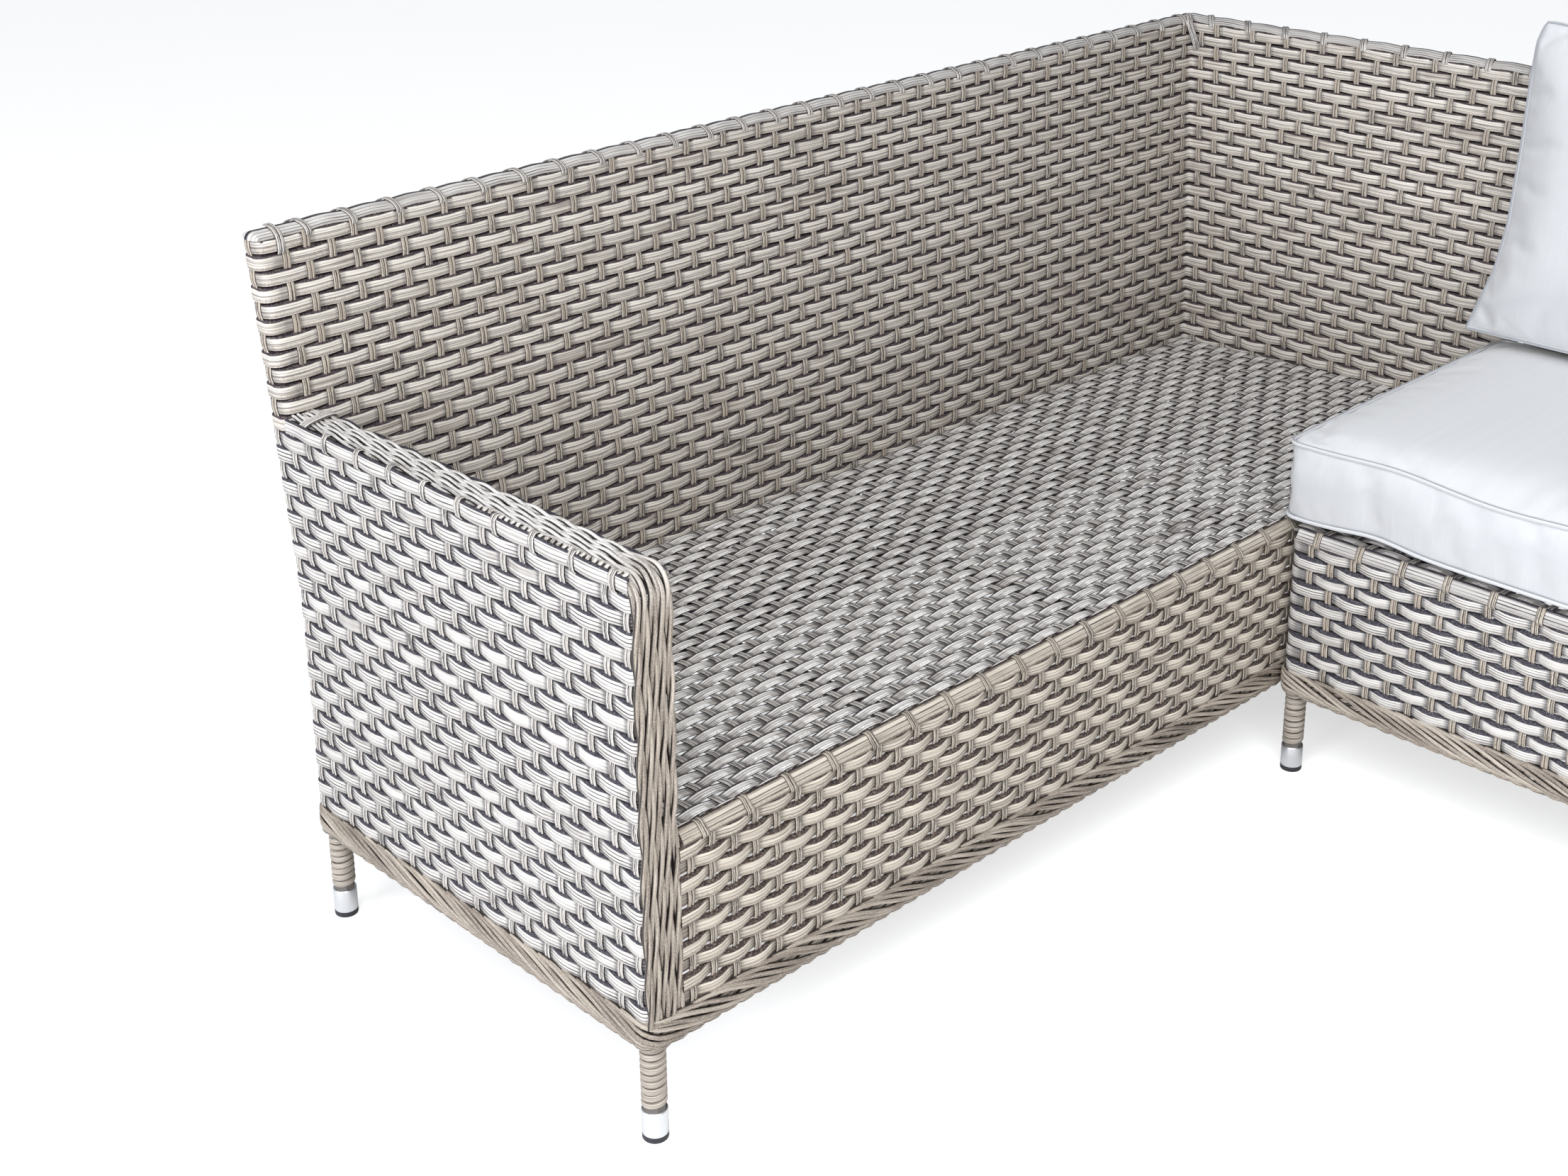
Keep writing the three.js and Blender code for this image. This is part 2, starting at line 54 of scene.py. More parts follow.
def linked(name, data):
    made = bpy.data.objects.new(name, data)
    scene.collection.objects.link(made)
    return made


# Camera, at the photograph's place

view = {"focal": 50.04, "yaw": -43.90, "pitch": -19.58, "roll": -0.625, "shiftX": 0.0029, "shiftY": -0.149,
        "place": (-1164.3, -1407.2, 1510.0)}


def addCamera():
    yaw, pitch, roll = (math.radians(view[k]) for k in ("yaw", "pitch", "roll"))
    forward = Vector((-math.sin(yaw) * math.cos(pitch), math.cos(yaw) * math.cos(pitch), math.sin(pitch)))
    right = forward.cross(Vector((0, 0, 1))).normalized()
    up = right.cross(forward)
    turnedRight = math.cos(roll) * right + math.sin(roll) * up
    turnedUp = -math.sin(roll) * right + math.cos(roll) * up
    data = bpy.data.cameras.new("camera")
    data.sensor_width = 36
    data.lens = view["focal"]
    data.shift_x, data.shift_y = view["shiftX"], view["shiftY"]
    data.clip_start, data.clip_end = 0.05, 60
    turn = Matrix((turnedRight, turnedUp, -forward)).transposed().to_4x4()
    scene.camera = linked("camera", data)
    scene.camera.matrix_world = Matrix.Translation(Vector(origin + np.array(view["place"]) / 1000)) @ turn


addCamera()
print("camera placed")


# Shader expressions

class Wire:
    def __init__(self, shader, socket):
        self.shader, self.socket = shader, socket

    def sum(self, kind, *others):
        made = self.shader.node("ShaderNodeMath", {"operation": kind})
        for slot, value in enumerate(others):
            self.shader.feed(made.socket.node.inputs[slot], value)
        return made

    def __add__(self, other): return self.sum("ADD", self, other)
    def __radd__(self, other): return self.sum("ADD", other, self)
    def __sub__(self, other): return self.sum("SUBTRACT", self, other)
    def __rsub__(self, other): return self.sum("SUBTRACT", other, self)
    def __mul__(self, other): return self.sum("MULTIPLY", self, other)
    def __rmul__(self, other): return self.sum("MULTIPLY", other, self)
    def wave(self): return self.sum("SINE", self)
    def size(self): return self.sum("ABSOLUTE", self)

    def step(self, low, high):  # 0 below low, 1 above high, smooth between
        return self.shader.node("ShaderNodeMapRange", {"interpolation_type": "SMOOTHSTEP"},
                                {"Value": self, "From Min": low, "From Max": high})


class Finish:
    def __init__(self, name):
        self.material = bpy.data.materials.new(name)
        self.material.use_nodes = True
        self.nodes = self.material.node_tree.nodes
        self.nodes.clear()

    def feed(self, socket, value):
        if isinstance(value, Wire):
            self.material.node_tree.links.new(value.socket, socket)
        elif hasattr(socket.default_value, "__len__") and len(socket.default_value) == 4:
            socket.default_value = (*value, 1) if len(value) == 3 else value
        else:
            socket.default_value = value

    def node(self, kind, settings=None, inputs=None, output=0):
        made = self.nodes.new(kind)
        for key, value in (settings or {}).items():
            setattr(made, key, value)
        for key, value in (inputs or {}).items():
            self.feed(made.inputs[key], value)
        return Wire(self, made.outputs[output])

    def attribute(self, name, output="Vector"):
        return self.node("ShaderNodeAttribute", {"attribute_name": name}, output=output)

    def split(self, vector):
        parts = self.node("ShaderNodeSeparateXYZ", {}, {0: vector}).socket.node.outputs
        return [Wire(self, part) for part in parts]

    def join(self, x, y, z):
        return self.node("ShaderNodeCombineXYZ", {}, {0: x, 1: y, 2: z})

    def place(self):
        return self.node("ShaderNodeTexCoord", output="Object")

    def noise(self, vector, scale=1.0, detail=2.0):
        return self.node("ShaderNodeTexNoise", {}, {"Vector": vector, "Scale": scale, "Detail": detail}, "Fac")

    def fibres(self, strand, length, shift, breadth, seed, detail=2.0):  # streaks, each strand with its own
        along, across, tint = strand
        return self.noise(self.join(along * length + tint * shift, across * breadth, tint * seed), 1.0, detail)

    def patches(self, strand, length, shift, seed):
        along, _, tint = strand
        return self.noise(self.join(along * length + tint * shift, tint * seed, 0.0))

    def blend(self, factor, a, b):
        return self.node("ShaderNodeMix", {"data_type": "RGBA"}, {0: factor, 6: a, 7: b}, output=2)

    def bump(self, height, strength, distance):
        return self.node("ShaderNodeBump", {}, {"Height": height, "Strength": strength, "Distance": distance})

    def finish(self, colour, roughness, normal=None, **fixed):
        inputs = {"Base Color": colour, "Roughness": roughness}
        if normal is not None:
            inputs["Normal"] = normal
        inputs.update({key.replace("_", " "): value for key, value in fixed.items()})
        shader = self.node("ShaderNodeBsdfPrincipled", {}, inputs)
        self.feed(self.nodes.new("ShaderNodeOutputMaterial").inputs["Surface"], shader)
        return self.material


wickerLook = {
    "rib": (0.42, 0.372, 0.324), "ribPale": (0.705, 0.66, 0.598), "ribBrown": (0.19, 0.153, 0.132),
    # flank is the ribbons' sides and backs: a darker brown, kept very dark as painted shade of the gaps between rows
    "groove": (0.080, 0.062, 0.058), "flank": (0.034, 0.026, 0.032), "fleck": (0.135, 0.105, 0.100),
    # lift sets the painted highlight on the crests, recessShade the painted shade where a ribbon dips under a stake
    "lines": 12.8, "lined": 0.45, "centre": 0.65, "brown": 1.0, "edge": 0.62, "lift": 0.15, "recessShade": 0.45,
    "gloss": 0.32,
    "stake": (0.40, 0.34, 0.28), "stakePale": (0.68, 0.615, 0.53), "stakeDark": (0.040, 0.030, 0.026),
    "cord": (0.38, 0.325, 0.27), "cordPale": (0.58, 0.52, 0.45), "cordDark": (0.15, 0.120, 0.100),
    # cordBright is painted light on the cords' lit tops, gap is painted shade between neighbouring cords
    "cordBright": (0.86, 0.845, 0.83), "gap": (0.022, 0.017, 0.016),
}
# Lit and shaded copies of the ribbon colours, one for each face: painted light, after the way the light falls on each
# face
upperLook = {"rib": (0.455, 0.405, 0.355), "ribPale": (0.755, 0.71, 0.645)}
frontLook = {"rib": (0.44, 0.374, 0.308), "ribPale": (0.76, 0.698, 0.602), "groove": (0.085, 0.060, 0.050),
             "flank": (0.044, 0.032, 0.030), "fleck": (0.185, 0.142, 0.120), "lined": 0.6, "centre": 0.3,
             "edge": 0.64}
sideLook = {"rib": (0.43, 0.403, 0.380), "ribPale": (0.72, 0.695, 0.665), "groove": (0.070, 0.060, 0.060),
            "flank": (0.036, 0.033, 0.044), "fleck": (0.115, 0.108, 0.125), "lines": 15.2, "lined": 0.8,
            "centre": 0.0, "brown": 0.4, "edge": 0.56, "lift": 0.4, "recessShade": 0.7}
deckLook = {"rib": (0.215, 0.185, 0.163), "ribPale": (0.95, 0.925, 0.895), "groove": (0.060, 0.048, 0.045),
            "flank": (0.020, 0.016, 0.022), "fleck": (0.055, 0.046, 0.050), "lined": 0.6, "centre": 0.4,
            "edge": 0.54, "lift": 1.0, "recessShade": 0.8, "gloss": 0.6}
# A lighter copy of the stake colours, for stakes and wraps where the light falls strongest: painted light
paleStake = {"stake": (0.50, 0.465, 0.430), "stakePale": (0.78, 0.75, 0.72)}


def ribbonWicker(name, **own):
    f = Finish(name)
    look = {**wickerLook, **own}
    strand = _, across, tint = f.split(f.attribute("strand"))
    speckle = f.fibres(strand, 520, 11, 4.5, 7)
    patches = f.patches(strand, 9, 91, 37)
    streaks = f.fibres(strand, 7, 53, 2.6, 17)
    fine = f.fibres(strand, 34, 29, 13.0, 5)
    lines = (across * look["lines"] + 0.9 + tint * 2.2).wave()  # the grooves along the ribbon
    pale = f.blend((streaks * 0.7 + patches * 0.6 + fine * 0.25).step(0.50, 0.86), look["rib"], look["ribPale"])
    low = (across * -1 + (patches - 0.5) * 1.8 + (streaks - 0.5) * 1.0).step(-0.05, 0.75)
    colour = f.blend(low * 0.6, pale, look["rib"])
    swing = f.attribute("swing", "Fac")
    # Painted highlight: the crests, where the ribbon swings out over a stake, turn paler
    colour = f.blend((swing + (patches - 0.5) * 1.6).step(0.35, 0.95) * look["lift"], colour, look["ribPale"])
    brown = (1 - streaks - (patches - 0.5) * 0.7).step(0.60, 0.74) * 0.45 + low * speckle.step(0.46, 0.66) * 0.42
    colour = f.blend(brown * look["brown"], colour, look["ribBrown"])
    groove = (lines * -1 + (fine - 0.5) * 1.5 + (streaks - 0.5) * 1.3).step(0.50, 1.02)
    colour = f.blend(groove * (patches + tint * 0.5).step(0.30, 0.95) * look["lined"] * 1.5, colour, look["groove"])
    middle = 1 - (across + 0.05 + (patches - 0.5) * 0.5).size().step(0.035, 0.13)  # one groove, near the middle, is darker
    colour = f.blend(middle * look["centre"], colour, look["groove"])
    # The upper edge band: the ribbon's darker flank with painted shade of the gap between rows, widest mid-span where
    # the ribbon swings out
    edge = (across + (speckle - 0.5) * 0.12 + swing * 0.09).step(look["edge"], look["edge"] + 0.10)
    # Painted shade where the ribbon dips under a stake
    colour = f.blend((swing * -1 + (fine - 0.5) * 0.2).step(0.30, 1.02) * look["recessShade"], colour, look["flank"])
    colour = f.blend(edge, colour, f.blend(speckle.step(0.47, 0.64), look["flank"], look["fleck"]))
    # Painted shade along the ribbon's lower edge (on the deck, its near edge)
    colour = f.blend((across * -1).step(0.94, 1.05), colour, look["flank"])
    normal = f.bump(lines * 0.5 + fine * 0.3, 0.5, 0.0008)
    return f.finish(colour, 0.68 - look["gloss"] * 0.5 + groove * 0.2, normal, Specular_IOR_Level=look["gloss"])


def stakeWicker(name, **own):
    f = Finish(name)
    look = {**wickerLook, **own}
    strand = _, across, _ = f.split(f.attribute("strand"))
    speckle = f.fibres(strand, 420, 11, 5.0, 7)
    streaks = f.fibres(strand, 40, 71, 4.5, 19, 3.0)
    patches = f.patches(strand, 24, 31, 5)
    lines = (across.size() * 12.0 - 2.2).wave()
    colour = f.blend((patches * 0.8 + streaks * 0.5).step(0.50, 0.86), look["stake"], look["stakePale"])
    dark = (streaks * 0.9 + speckle * 0.35 - lines * 0.10 + (patches - 0.5) * 0.6).step(0.56, 0.78)
    colour = f.blend(dark * 0.85, colour, look["stakeDark"])
    # Painted shade in the gap between the stake's two strands
    colour = f.blend((1 - across.size().step(0.05, 0.16)) * 0.9, colour, look["stakeDark"])
    # Painted shade along the stake's sides
    colour = f.blend(across.size().step(0.90, 1.02), colour, look["flank"])
    normal = f.bump(lines * 0.4 + streaks * 0.5, 0.3, 0.0006)
    return f.finish(colour, 0.46, normal, Specular_IOR_Level=0.45)


def cordWicker():
    f = Finish("cordWicker")
    strand = _, across, tint = f.split(f.attribute("strand"))
    speckle = f.noise(f.place(), 1000.0)
    streaks = f.fibres(strand, 30, 61, 4.0, 23, 3.0)
    patches = f.patches(strand, 9, 31, 5)
    mask = (speckle * 0.75 + streaks * 0.5 + (patches - 0.5) * 0.4 + tint * 0.18).step(0.48, 0.80)
    colour = f.blend(mask, wickerLook["cordDark"], wickerLook["cord"])
    colour = f.blend((streaks + speckle * 0.6 + tint * 0.2).step(0.84, 1.16) * 0.9, colour, wickerLook["cordPale"])
    # Painted light: the cords turn paler where swing marks their lit top
    colour = f.blend(f.attribute("swing", "Fac") * (0.04 + mask * 0.80), colour, wickerLook["cordBright"])
    colour = f.blend(across.size().step(0.52, 0.88), colour, wickerLook["gap"])  # painted shade between neighbouring cords
    normal = f.bump(speckle * 0.6 + streaks, 0.40, 0.0005)
    return f.finish(colour, 0.48, normal, Specular_IOR_Level=0.4)


def windingWicker():
    f = Finish("windingWicker")
    strand = _, across, _ = f.split(f.attribute("strand"))
    streaks = f.fibres(strand, 26, 61, 7.0, 23, 3.0)
    fine = f.fibres(strand, 60, 9, 22.0, 3)
    mask = (streaks * 0.8 + fine * 0.5).step(0.46, 0.78)
    colour = f.blend(mask, wickerLook["cordDark"], wickerLook["cordPale"])
    # Painted shade along the edges of each turn, between the turns
    colour = f.blend(across.size().step(0.86, 1.02), colour, wickerLook["flank"])
    return f.finish(colour, 0.5, f.bump(fine + streaks, 0.4, 0.0005), Specular_IOR_Level=0.4)


linen = {"base": (0.70, 0.705, 0.72), "basePale": (0.755, 0.76, 0.775), "slub": (0.87, 0.875, 0.885),
         "slubDark": (0.60, 0.615, 0.65), "grain": (0.62, 0.63, 0.66), "side": (0.40, 0.41, 0.43),
         "pipingShade": (0.26, 0.27, 0.30), "threads": 6200}


def cushionLinen():
    f = Finish("cushionLinen")
    place = f.place()
    x, y, z = f.split(place)
    _, ny, nz = f.split(f.node("ShaderNodeNewGeometry", output="Normal"))
    side = ny.size().step(0.66, 0.72)  # on faces that look along the run the slubs stand at their own x
    spot = x * side + y * (1 - side)
    rise = z + (x * (1 - side)) * 0.5
    slubs = f.noise(f.join(spot * 760, rise * 19, side * 3))
    broad = f.noise(f.join(spot * 110, rise * 5, side * 5))
    threads = (spot * linen["threads"]).wave() * (rise * linen["threads"]).wave() * 0.5 + 0.5
    fine = f.noise(place, 900.0)
    base = f.blend(broad, linen["base"], linen["basePale"])
    shown = 0.25 + nz.size().step(0.25, 0.80) * -0.17
    colour = f.blend(slubs.step(0.60, 0.72) * shown * 2.8, base, linen["slub"])
    colour = f.blend((1 - slubs).step(0.62, 0.80) * shown, colour, linen["slubDark"])
    colour = f.blend(fine.step(0.45, 0.75) * 0.10, colour, linen["grain"])
    colour = f.blend((1 - nz.size()) * 0.60, colour, linen["side"])  # painted shade: the upright sides turn greyer than the top
    _, across, _ = f.split(f.attribute("strand"))
    colour = f.blend(across.size().step(0.48, 0.76) * 0.8, colour, linen["pipingShade"])  # painted shade beside the piping
    normal = f.bump(slubs * 0.5 + threads * 0.35 + fine * 0.3, 0.30, 0.0006)
    return f.finish(colour, 0.93, normal, Specular_IOR_Level=0.25, Sheen_Weight=0.25, Sheen_Roughness=0.5)


metal = {"shade": (0.80, 0.805, 0.82), "pale": (0.90, 0.905, 0.915)}
plastic = {"shade": (0.012, 0.013, 0.018), "pale": (0.030, 0.031, 0.038)}
paint = {"shade": (0.115, 0.103, 0.094), "pale": (0.165, 0.148, 0.134)}


def capMetal():
    f = Finish("capMetal")
    place = f.place()
    x, y, z = f.split(place)
    brushed = f.noise(f.join(x * 90, y * 90, z * 2600))
    smudge = f.noise(place, 55.0)
    colour = f.blend(brushed, metal["shade"], metal["pale"])
    return f.finish(colour, 0.26 + smudge * 0.12 + brushed * 0.06, f.bump(brushed, 0.10, 0.0003), Metallic=1.0)


def glidePlastic():
    f = Finish("glidePlastic")
    grain = f.noise(f.place(), 1500.0)
    colour = f.blend(grain, plastic["shade"], plastic["pale"])
    return f.finish(colour, 0.42 + grain * 0.15, f.bump(grain, 0.2, 0.0003))


def tubePaint():
    f = Finish("tubePaint")
    place = f.place()
    grain = f.noise(place, 700.0)
    colour = f.blend(f.noise(place, 12.0), paint["shade"], paint["pale"])
    return f.finish(colour, 0.44 + grain * 0.14, f.bump(grain, 0.18, 0.0003))


finishes = {made.name: made for made in (
    ribbonWicker("ribbonWicker"), ribbonWicker("frontWicker", **frontLook), ribbonWicker("upperWicker", **upperLook),
    ribbonWicker("sideWicker", **sideLook), ribbonWicker("deckWicker", **deckLook), stakeWicker("stakeWicker"),
    stakeWicker("paleStakes", **paleStake), cordWicker(), windingWicker(), cushionLinen(), capMetal(),
    glidePlastic(), tubePaint())}
print("finishes made")


# Strands of wicker gathered into one mesh

form = {"returnX": 1089.0, "returnLength": 1080.0, "moduleGap": 9.0, "depth": 604.0, "thickness": 37.0,
        "armWidth": 50.0, "top": 845.0, "arm": 641.0, "seatFront": 351.0, "seatRear": 331.0,
        "leanStart": 375.0, "leanFull": 475.0, "leanSlope": 0.135, "corner": 15.0}
longLength = form["returnX"] + form["depth"]
seatDepth = form["depth"] - form["thickness"]


def leanAt(z):
    z = np.asarray(z, float)
    blend = form["leanFull"] - form["leanStart"]
    bending = form["leanSlope"] * (z - form["leanStart"]) ** 2 / (2 * blend)
    straight = form["leanSlope"] * (blend / 2 + z - form["leanFull"])
    return np.where(z <= form["leanStart"], 0.0, np.where(z <= form["leanFull"], bending, straight))


def seatHeight(v):
    return form["seatFront"] + (form["seatRear"] - form["seatFront"]) * np.asarray(v, float) / seatDepth


def inLong(points):
    return points


def inReturn(points):
    u, v, z = points[..., 0], points[..., 1], points[..., 2]
    return np.stack([form["returnX"] + v, -form["moduleGap"] - u, z], -1)


def toWorld(points):
    return points / 1000 + origin


def unit(vectors):
    return vectors / np.linalg.norm(vectors, axis=-1, keepdims=True)


def framed(centres, out, loop=False):  # unit vectors out of a course and to its side
    if loop:
        ahead = unit(np.roll(centres, -1, 0) - np.roll(centres, 1, 0))
    else:
        ahead = unit(np.gradient(centres, axis=0))
    out = np.broadcast_to(np.asarray(out, float), centres.shape)
    out = unit(out - (out * ahead).sum(-1, keepdims=True) * ahead)
    return out, np.cross(ahead, out)


def quadMesh(name, points, quads):
    mesh = bpy.data.meshes.new(name)
    mesh.vertices.add(len(points))
    mesh.vertices.foreach_set("co", points.ravel())
    mesh.loops.add(quads.size)
    mesh.loops.foreach_set("vertex_index", quads.ravel())
    mesh.polygons.add(len(quads))
    mesh.polygons.foreach_set("loop_start", np.arange(0, quads.size, 4))
    mesh.polygons.foreach_set("use_smooth", np.ones(len(quads), bool))
    return mesh


class Strands:
    def __init__(self, place=inLong, mirrored=False):
        self.place, self.mirrored, self.strands = place, mirrored, []

    def add(self, rings, across, swing=0.0, slot=0, tint=None, loop=False):
        rings = np.asarray(rings, float)
        if loop:
            rings = np.concatenate([rings, rings[:1]])
        steps = np.linalg.norm(np.diff(rings.mean(1), axis=0), axis=1)
        along = np.concatenate([[0], np.cumsum(steps)])
        swing = np.broadcast_to(np.asarray(swing, float), (len(rings),))
        self.strands.append((rings, along, np.asarray(across, float), swing, slot,
                             rng.random() if tint is None else tint))

    def build(self, name, materials, nodes=(), body="base"):
        vertices, strand, swings, faces, slots, maps = [], [], [], [], [], []
        count = 0
        widest = max(np.linalg.norm(np.diff(r[0], axis=0), axis=1).sum() * 1.25 for r, *_ in self.strands) + 2
        total = sum(along[-1] for _, along, *_ in self.strands)
        line = math.sqrt(total * widest) * 1.02  # strands lie side by side in the map, as lines of text do
        start = 0.0
        for rings, along, across, swing, material, tint in self.strands:
            if self.mirrored:
                rings, across = rings[:, ::-1], across[::-1]
            n, k = rings.shape[:2]
            vertices.append(self.place(rings).reshape(-1, 3))
            mark = np.empty((n, k, 3))
            mark[..., 0], mark[..., 1], mark[..., 2] = along[:, None] / 1000, across[None, :], tint
            strand.append(mark.reshape(-1, 3))
            swings.append(np.repeat(swing, k))
            i, j = np.meshgrid(np.arange(n - 1), np.arange(k), indexing="ij")
            a, b = i * k + j, i * k + (j + 1) % k
            faces.append(count + np.stack([a, b, b + k, a + k], -1).reshape(-1, 4))
            slots.append(np.full((n - 1) * k, material))
            edge = np.linalg.norm(np.roll(rings[0], -1, 0) - rings[0], axis=1)
            around = np.concatenate([[0], np.cumsum(edge)])
            row = np.floor((start + along[:-1]) / line)
            left = start + along[:-1] - row * line
            right = left + np.diff(along)
            u = np.stack([left, left, right, right], -1)[:, None, :] + np.zeros((1, k, 1))
            v = np.stack([around[:-1], around[1:], around[1:], around[:-1]], -1)[None]
            maps.append(np.stack([u, v + (row * widest)[:, None, None]], -1).reshape(-1, 2))
            start += along[-1] + 2
            count += n * k
        quads = np.concatenate(faces)
        mesh = quadMesh(name, toWorld(np.concatenate(vertices)), quads)
        mesh.polygons.foreach_set("material_index", np.concatenate(slots))
        marks = mesh.attributes.new("strand", "FLOAT_VECTOR", "POINT")
        marks.data.foreach_set("vector", np.concatenate(strand).ravel())
        mesh.attributes.new("swing", "FLOAT", "POINT").data.foreach_set("value", np.concatenate(swings))
        layout = np.concatenate(maps)
        layout = layout / max(line + 20, layout[:, 1].max() + 2)
        mesh.uv_layers.new(name="OFBake").uv.foreach_set("vector", layout.ravel())
        mesh.update(calc_edges=True)
        mesh.validate()
        piece = linked(name, mesh)
        for material in materials:
            mesh.materials.append(finishes[material])
        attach(piece, body)
        if nodes:
            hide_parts(*nodes)
        print(f"{name}: {len(quads)} faces")
        return piece


# Walls of weave: a run of upright faces joined by rounded or sharp corners, all leaning together

faceEase = {"apron": 1.0, "side": 0.0, "tuck": 0.0, "innerTuck": 0.3, "armInner": 0.5, "backFront": 0.8,
            "backLong": 0.8, "wallFront": 0.8}  # how far a face's ribbons arch and slope
ringsPerPitch = 4  # rings of a ribbon from one stake to the next


class Wall:
    def __init__(self, faces):
        self.names = [name for name, *_ in faces]
        self.faces = [(np.array(a, float), np.array(b, float), np.array(n, float)) for _, a, b, n in faces]
        marks = []
        for k, (a, b, n) in enumerate(self.faces):
            length = np.linalg.norm((b - a)[:2])
            near = min(0.4, 4 / length)
            before = self.mitre(k - 1, k) if k else n
            after = self.mitre(k, k + 1) if k + 1 < len(self.faces) and self.sharp(k) else n
            ease = faceEase.get(self.names[k], 0.4)
            marks += [(2 * k, a, before, ease), (2 * k + near, a + (b - a) * near, n, ease),
                      (2 * k + 1 - near, b + (a - b) * near, n, ease), (2 * k + 1, b, after, ease)]
            if k + 1 < len(self.faces) and not self.sharp(k):
                marks += [(*mark, ease) for mark in self.arc(k)]
        self.u = np.array([m[0] for m in marks], float)
        self.places = np.array([m[1] for m in marks], float)
        self.normals = np.array([m[2] for m in marks], float)
        self.eases = [m[3] for m in marks]
        steps = np.linalg.norm(np.diff(self.places[:, :2], axis=0), axis=1)
        self.far = np.concatenate([[0], np.cumsum(np.maximum(steps, 1e-4))])
        self.stations, self.numbers = [], []
        ahead = self.faces[0][1] - self.faces[0][0]
        self.turned = self.faces[0][2] @ (-ahead[1], ahead[0]) < 0

    def sharp(self, k):
        return np.linalg.norm((self.faces[k][1] - self.faces[k + 1][0])[:2]) < 0.5

    def mitre(self, i, j):
        first, second = self.faces[i][2], self.faces[j][2]
        if not self.sharp(min(i, j)):
            return second if j > i else first
        return (first + second) / (1 + first @ second)

    def arc(self, k):
        a, b, n = self.faces[k]
        following = self.faces[k + 1][0]
        ahead = (b - a)[:2] / np.linalg.norm((b - a)[:2])
        radius = abs((following - b)[:2] @ ahead)
        outward = n * np.sign(-(following - b)[:2] @ n)
        centre = b[:2] - outward * radius
        points = []
        for step in range(1, 5):
            angle = math.pi / 2 * step / 5
            spoke = math.cos(angle) * outward + math.sin(angle) * ahead
            place = np.concatenate([centre + radius * spoke, b[2:]])
            points.append((2 * k + 1 + step / 5, place, spoke * np.sign(n @ outward)))
        return points

    def plant(self, first, **courses):  # stakes on each face, at distances or as an even count
        firsts = [first]
        for name, stakes in courses.items():
            k = self.names.index(name)
            a, b, _ = self.faces[k]
            length = np.linalg.norm((b - a)[:2])
            if isinstance(stakes, int):
                pitch = length / stakes
                stakes = [(i + 0.5) * pitch for i in range(stakes)]
            self.stations += [2 * k + distance / length for distance in stakes]
            self.numbers += range(firsts[-1], firsts[-1] + len(stakes))
            firsts.append(firsts[-1] + len(stakes))
        return firsts  # the number that each face starts with, and the one after the last

    def plantHalf(self, k, count):  # stakes on the first half of a face that the run only enters
        last = self.numbers[-1] + 1
        self.stations += [2 * k + (i + 0.5) / count for i in range((count + 1) // 2)]
        self.numbers += [last + i for i in range((count + 1) // 2)]

    def at(self, u, z):
        u, z = np.broadcast_arrays(np.asarray(u, float), np.asarray(z, float))
        place = np.stack([np.interp(u, self.u, self.places[:, i]) for i in range(4)], -1)
        normal = np.stack([np.interp(u, self.u, self.normals[:, i]) for i in range(2)], -1)
        lean = leanAt(z)
        point = np.stack([place[..., 0] + place[..., 2] * lean, place[..., 1] + place[..., 3] * lean, z], -1)
        normal = np.concatenate([normal, np.zeros(u.shape + (1,))], -1)
        return point, normal, np.stack([-normal[..., 1], normal[..., 0], 0 * u], -1)

    def samples(self, low, high):  # places for the rings of a ribbon: between the stakes, and at corners
        stakes = np.interp(np.arange(self.numbers[0] - 1, self.numbers[-1] + 1.001, 1 / ringsPerPitch),
                           self.numbers, np.interp(self.stations, self.u, self.far))
        stakes = np.interp(stakes, self.far, self.u)
        marked = [low, high]
        for k in range(len(self.faces) - 1):
            marked += [2 * k + 1.5] if self.sharp(k) else list(2 * k + 1 + np.arange(6) / 5)
        found = sorted([(x, 0) for x in stakes] + [(x, 1) for x in marked])
        kept = []
        for x, fixed in found:
            if x < low - 1e-9 or x > high + 1e-9:
                continue
            k = int(x // 2)
            if not fixed and x - 2 * k > 1 and k + 1 < len(self.faces) and self.sharp(k):
                continue
            if kept and np.linalg.norm(self.at(x, 300.0)[0] - self.at(kept[-1][0], 300.0)[0]) < 2.5:
                if fixed and not kept[-1][1]:
                    kept[-1] = (x, 1)
                    continue
                if not fixed:
                    continue
            kept.append((x, fixed))
        return np.array([x for x, _ in kept])

    def count(self, u):
        return np.interp(np.interp(u, self.u, self.far), np.interp(self.stations, self.u, self.far), self.numbers)

    def ease(self, u):
        return np.interp(u, self.u, self.eases)


class Deck:
    turned = True

    def __init__(self, low, high, stakes):
        self.stations = list(np.linspace(low + 12, high - 12, stakes))
        self.numbers = list(range(stakes))

    def at(self, u, t):
        u, t = np.broadcast_arrays(np.asarray(u, float), np.asarray(t, float))
        point = np.stack([u, t, seatHeight(t)], -1)
        normal = np.broadcast_to([0.0, 0.0, 1.0], point.shape)
        return point, normal, np.broadcast_to([1.0, 0.0, 0.0], point.shape)

    def samples(self, low, high):
        inner = np.interp(np.arange(0, len(self.numbers) - 1 + 1e-6, 1 / ringsPerPitch), self.numbers, self.stations)
        return np.concatenate([[low], inner[(inner > low + 2) & (inner < high - 2)], [high]])

    def count(self, u):
        pitch = self.stations[1] - self.stations[0]
        return (np.asarray(u, float) - self.stations[0]) / pitch

    def ease(self, u):
        return np.ones(len(u))


weave = {"rowPitch": 18.9, "firstRow": 159.6, "armRow": 24, "highPitch": 18.09, "ribbonWidth": 18.3,
         "highWidth": 17.5, "ribbonThick": 2.2, "stakeWidth": 10.2, "stakeThick": 3.0, "sunk": 2.6, "outerBulge": 2.7,
         "backBulges": ((150, 330, 450, 560, 830), (2.7, 2.4, 1.9, 1.3, 0.8)), "stakeBulge": 1.4, "stakeLift": -0.6,
         "wallFlat": 0.3, "deckFlat": 0.5}
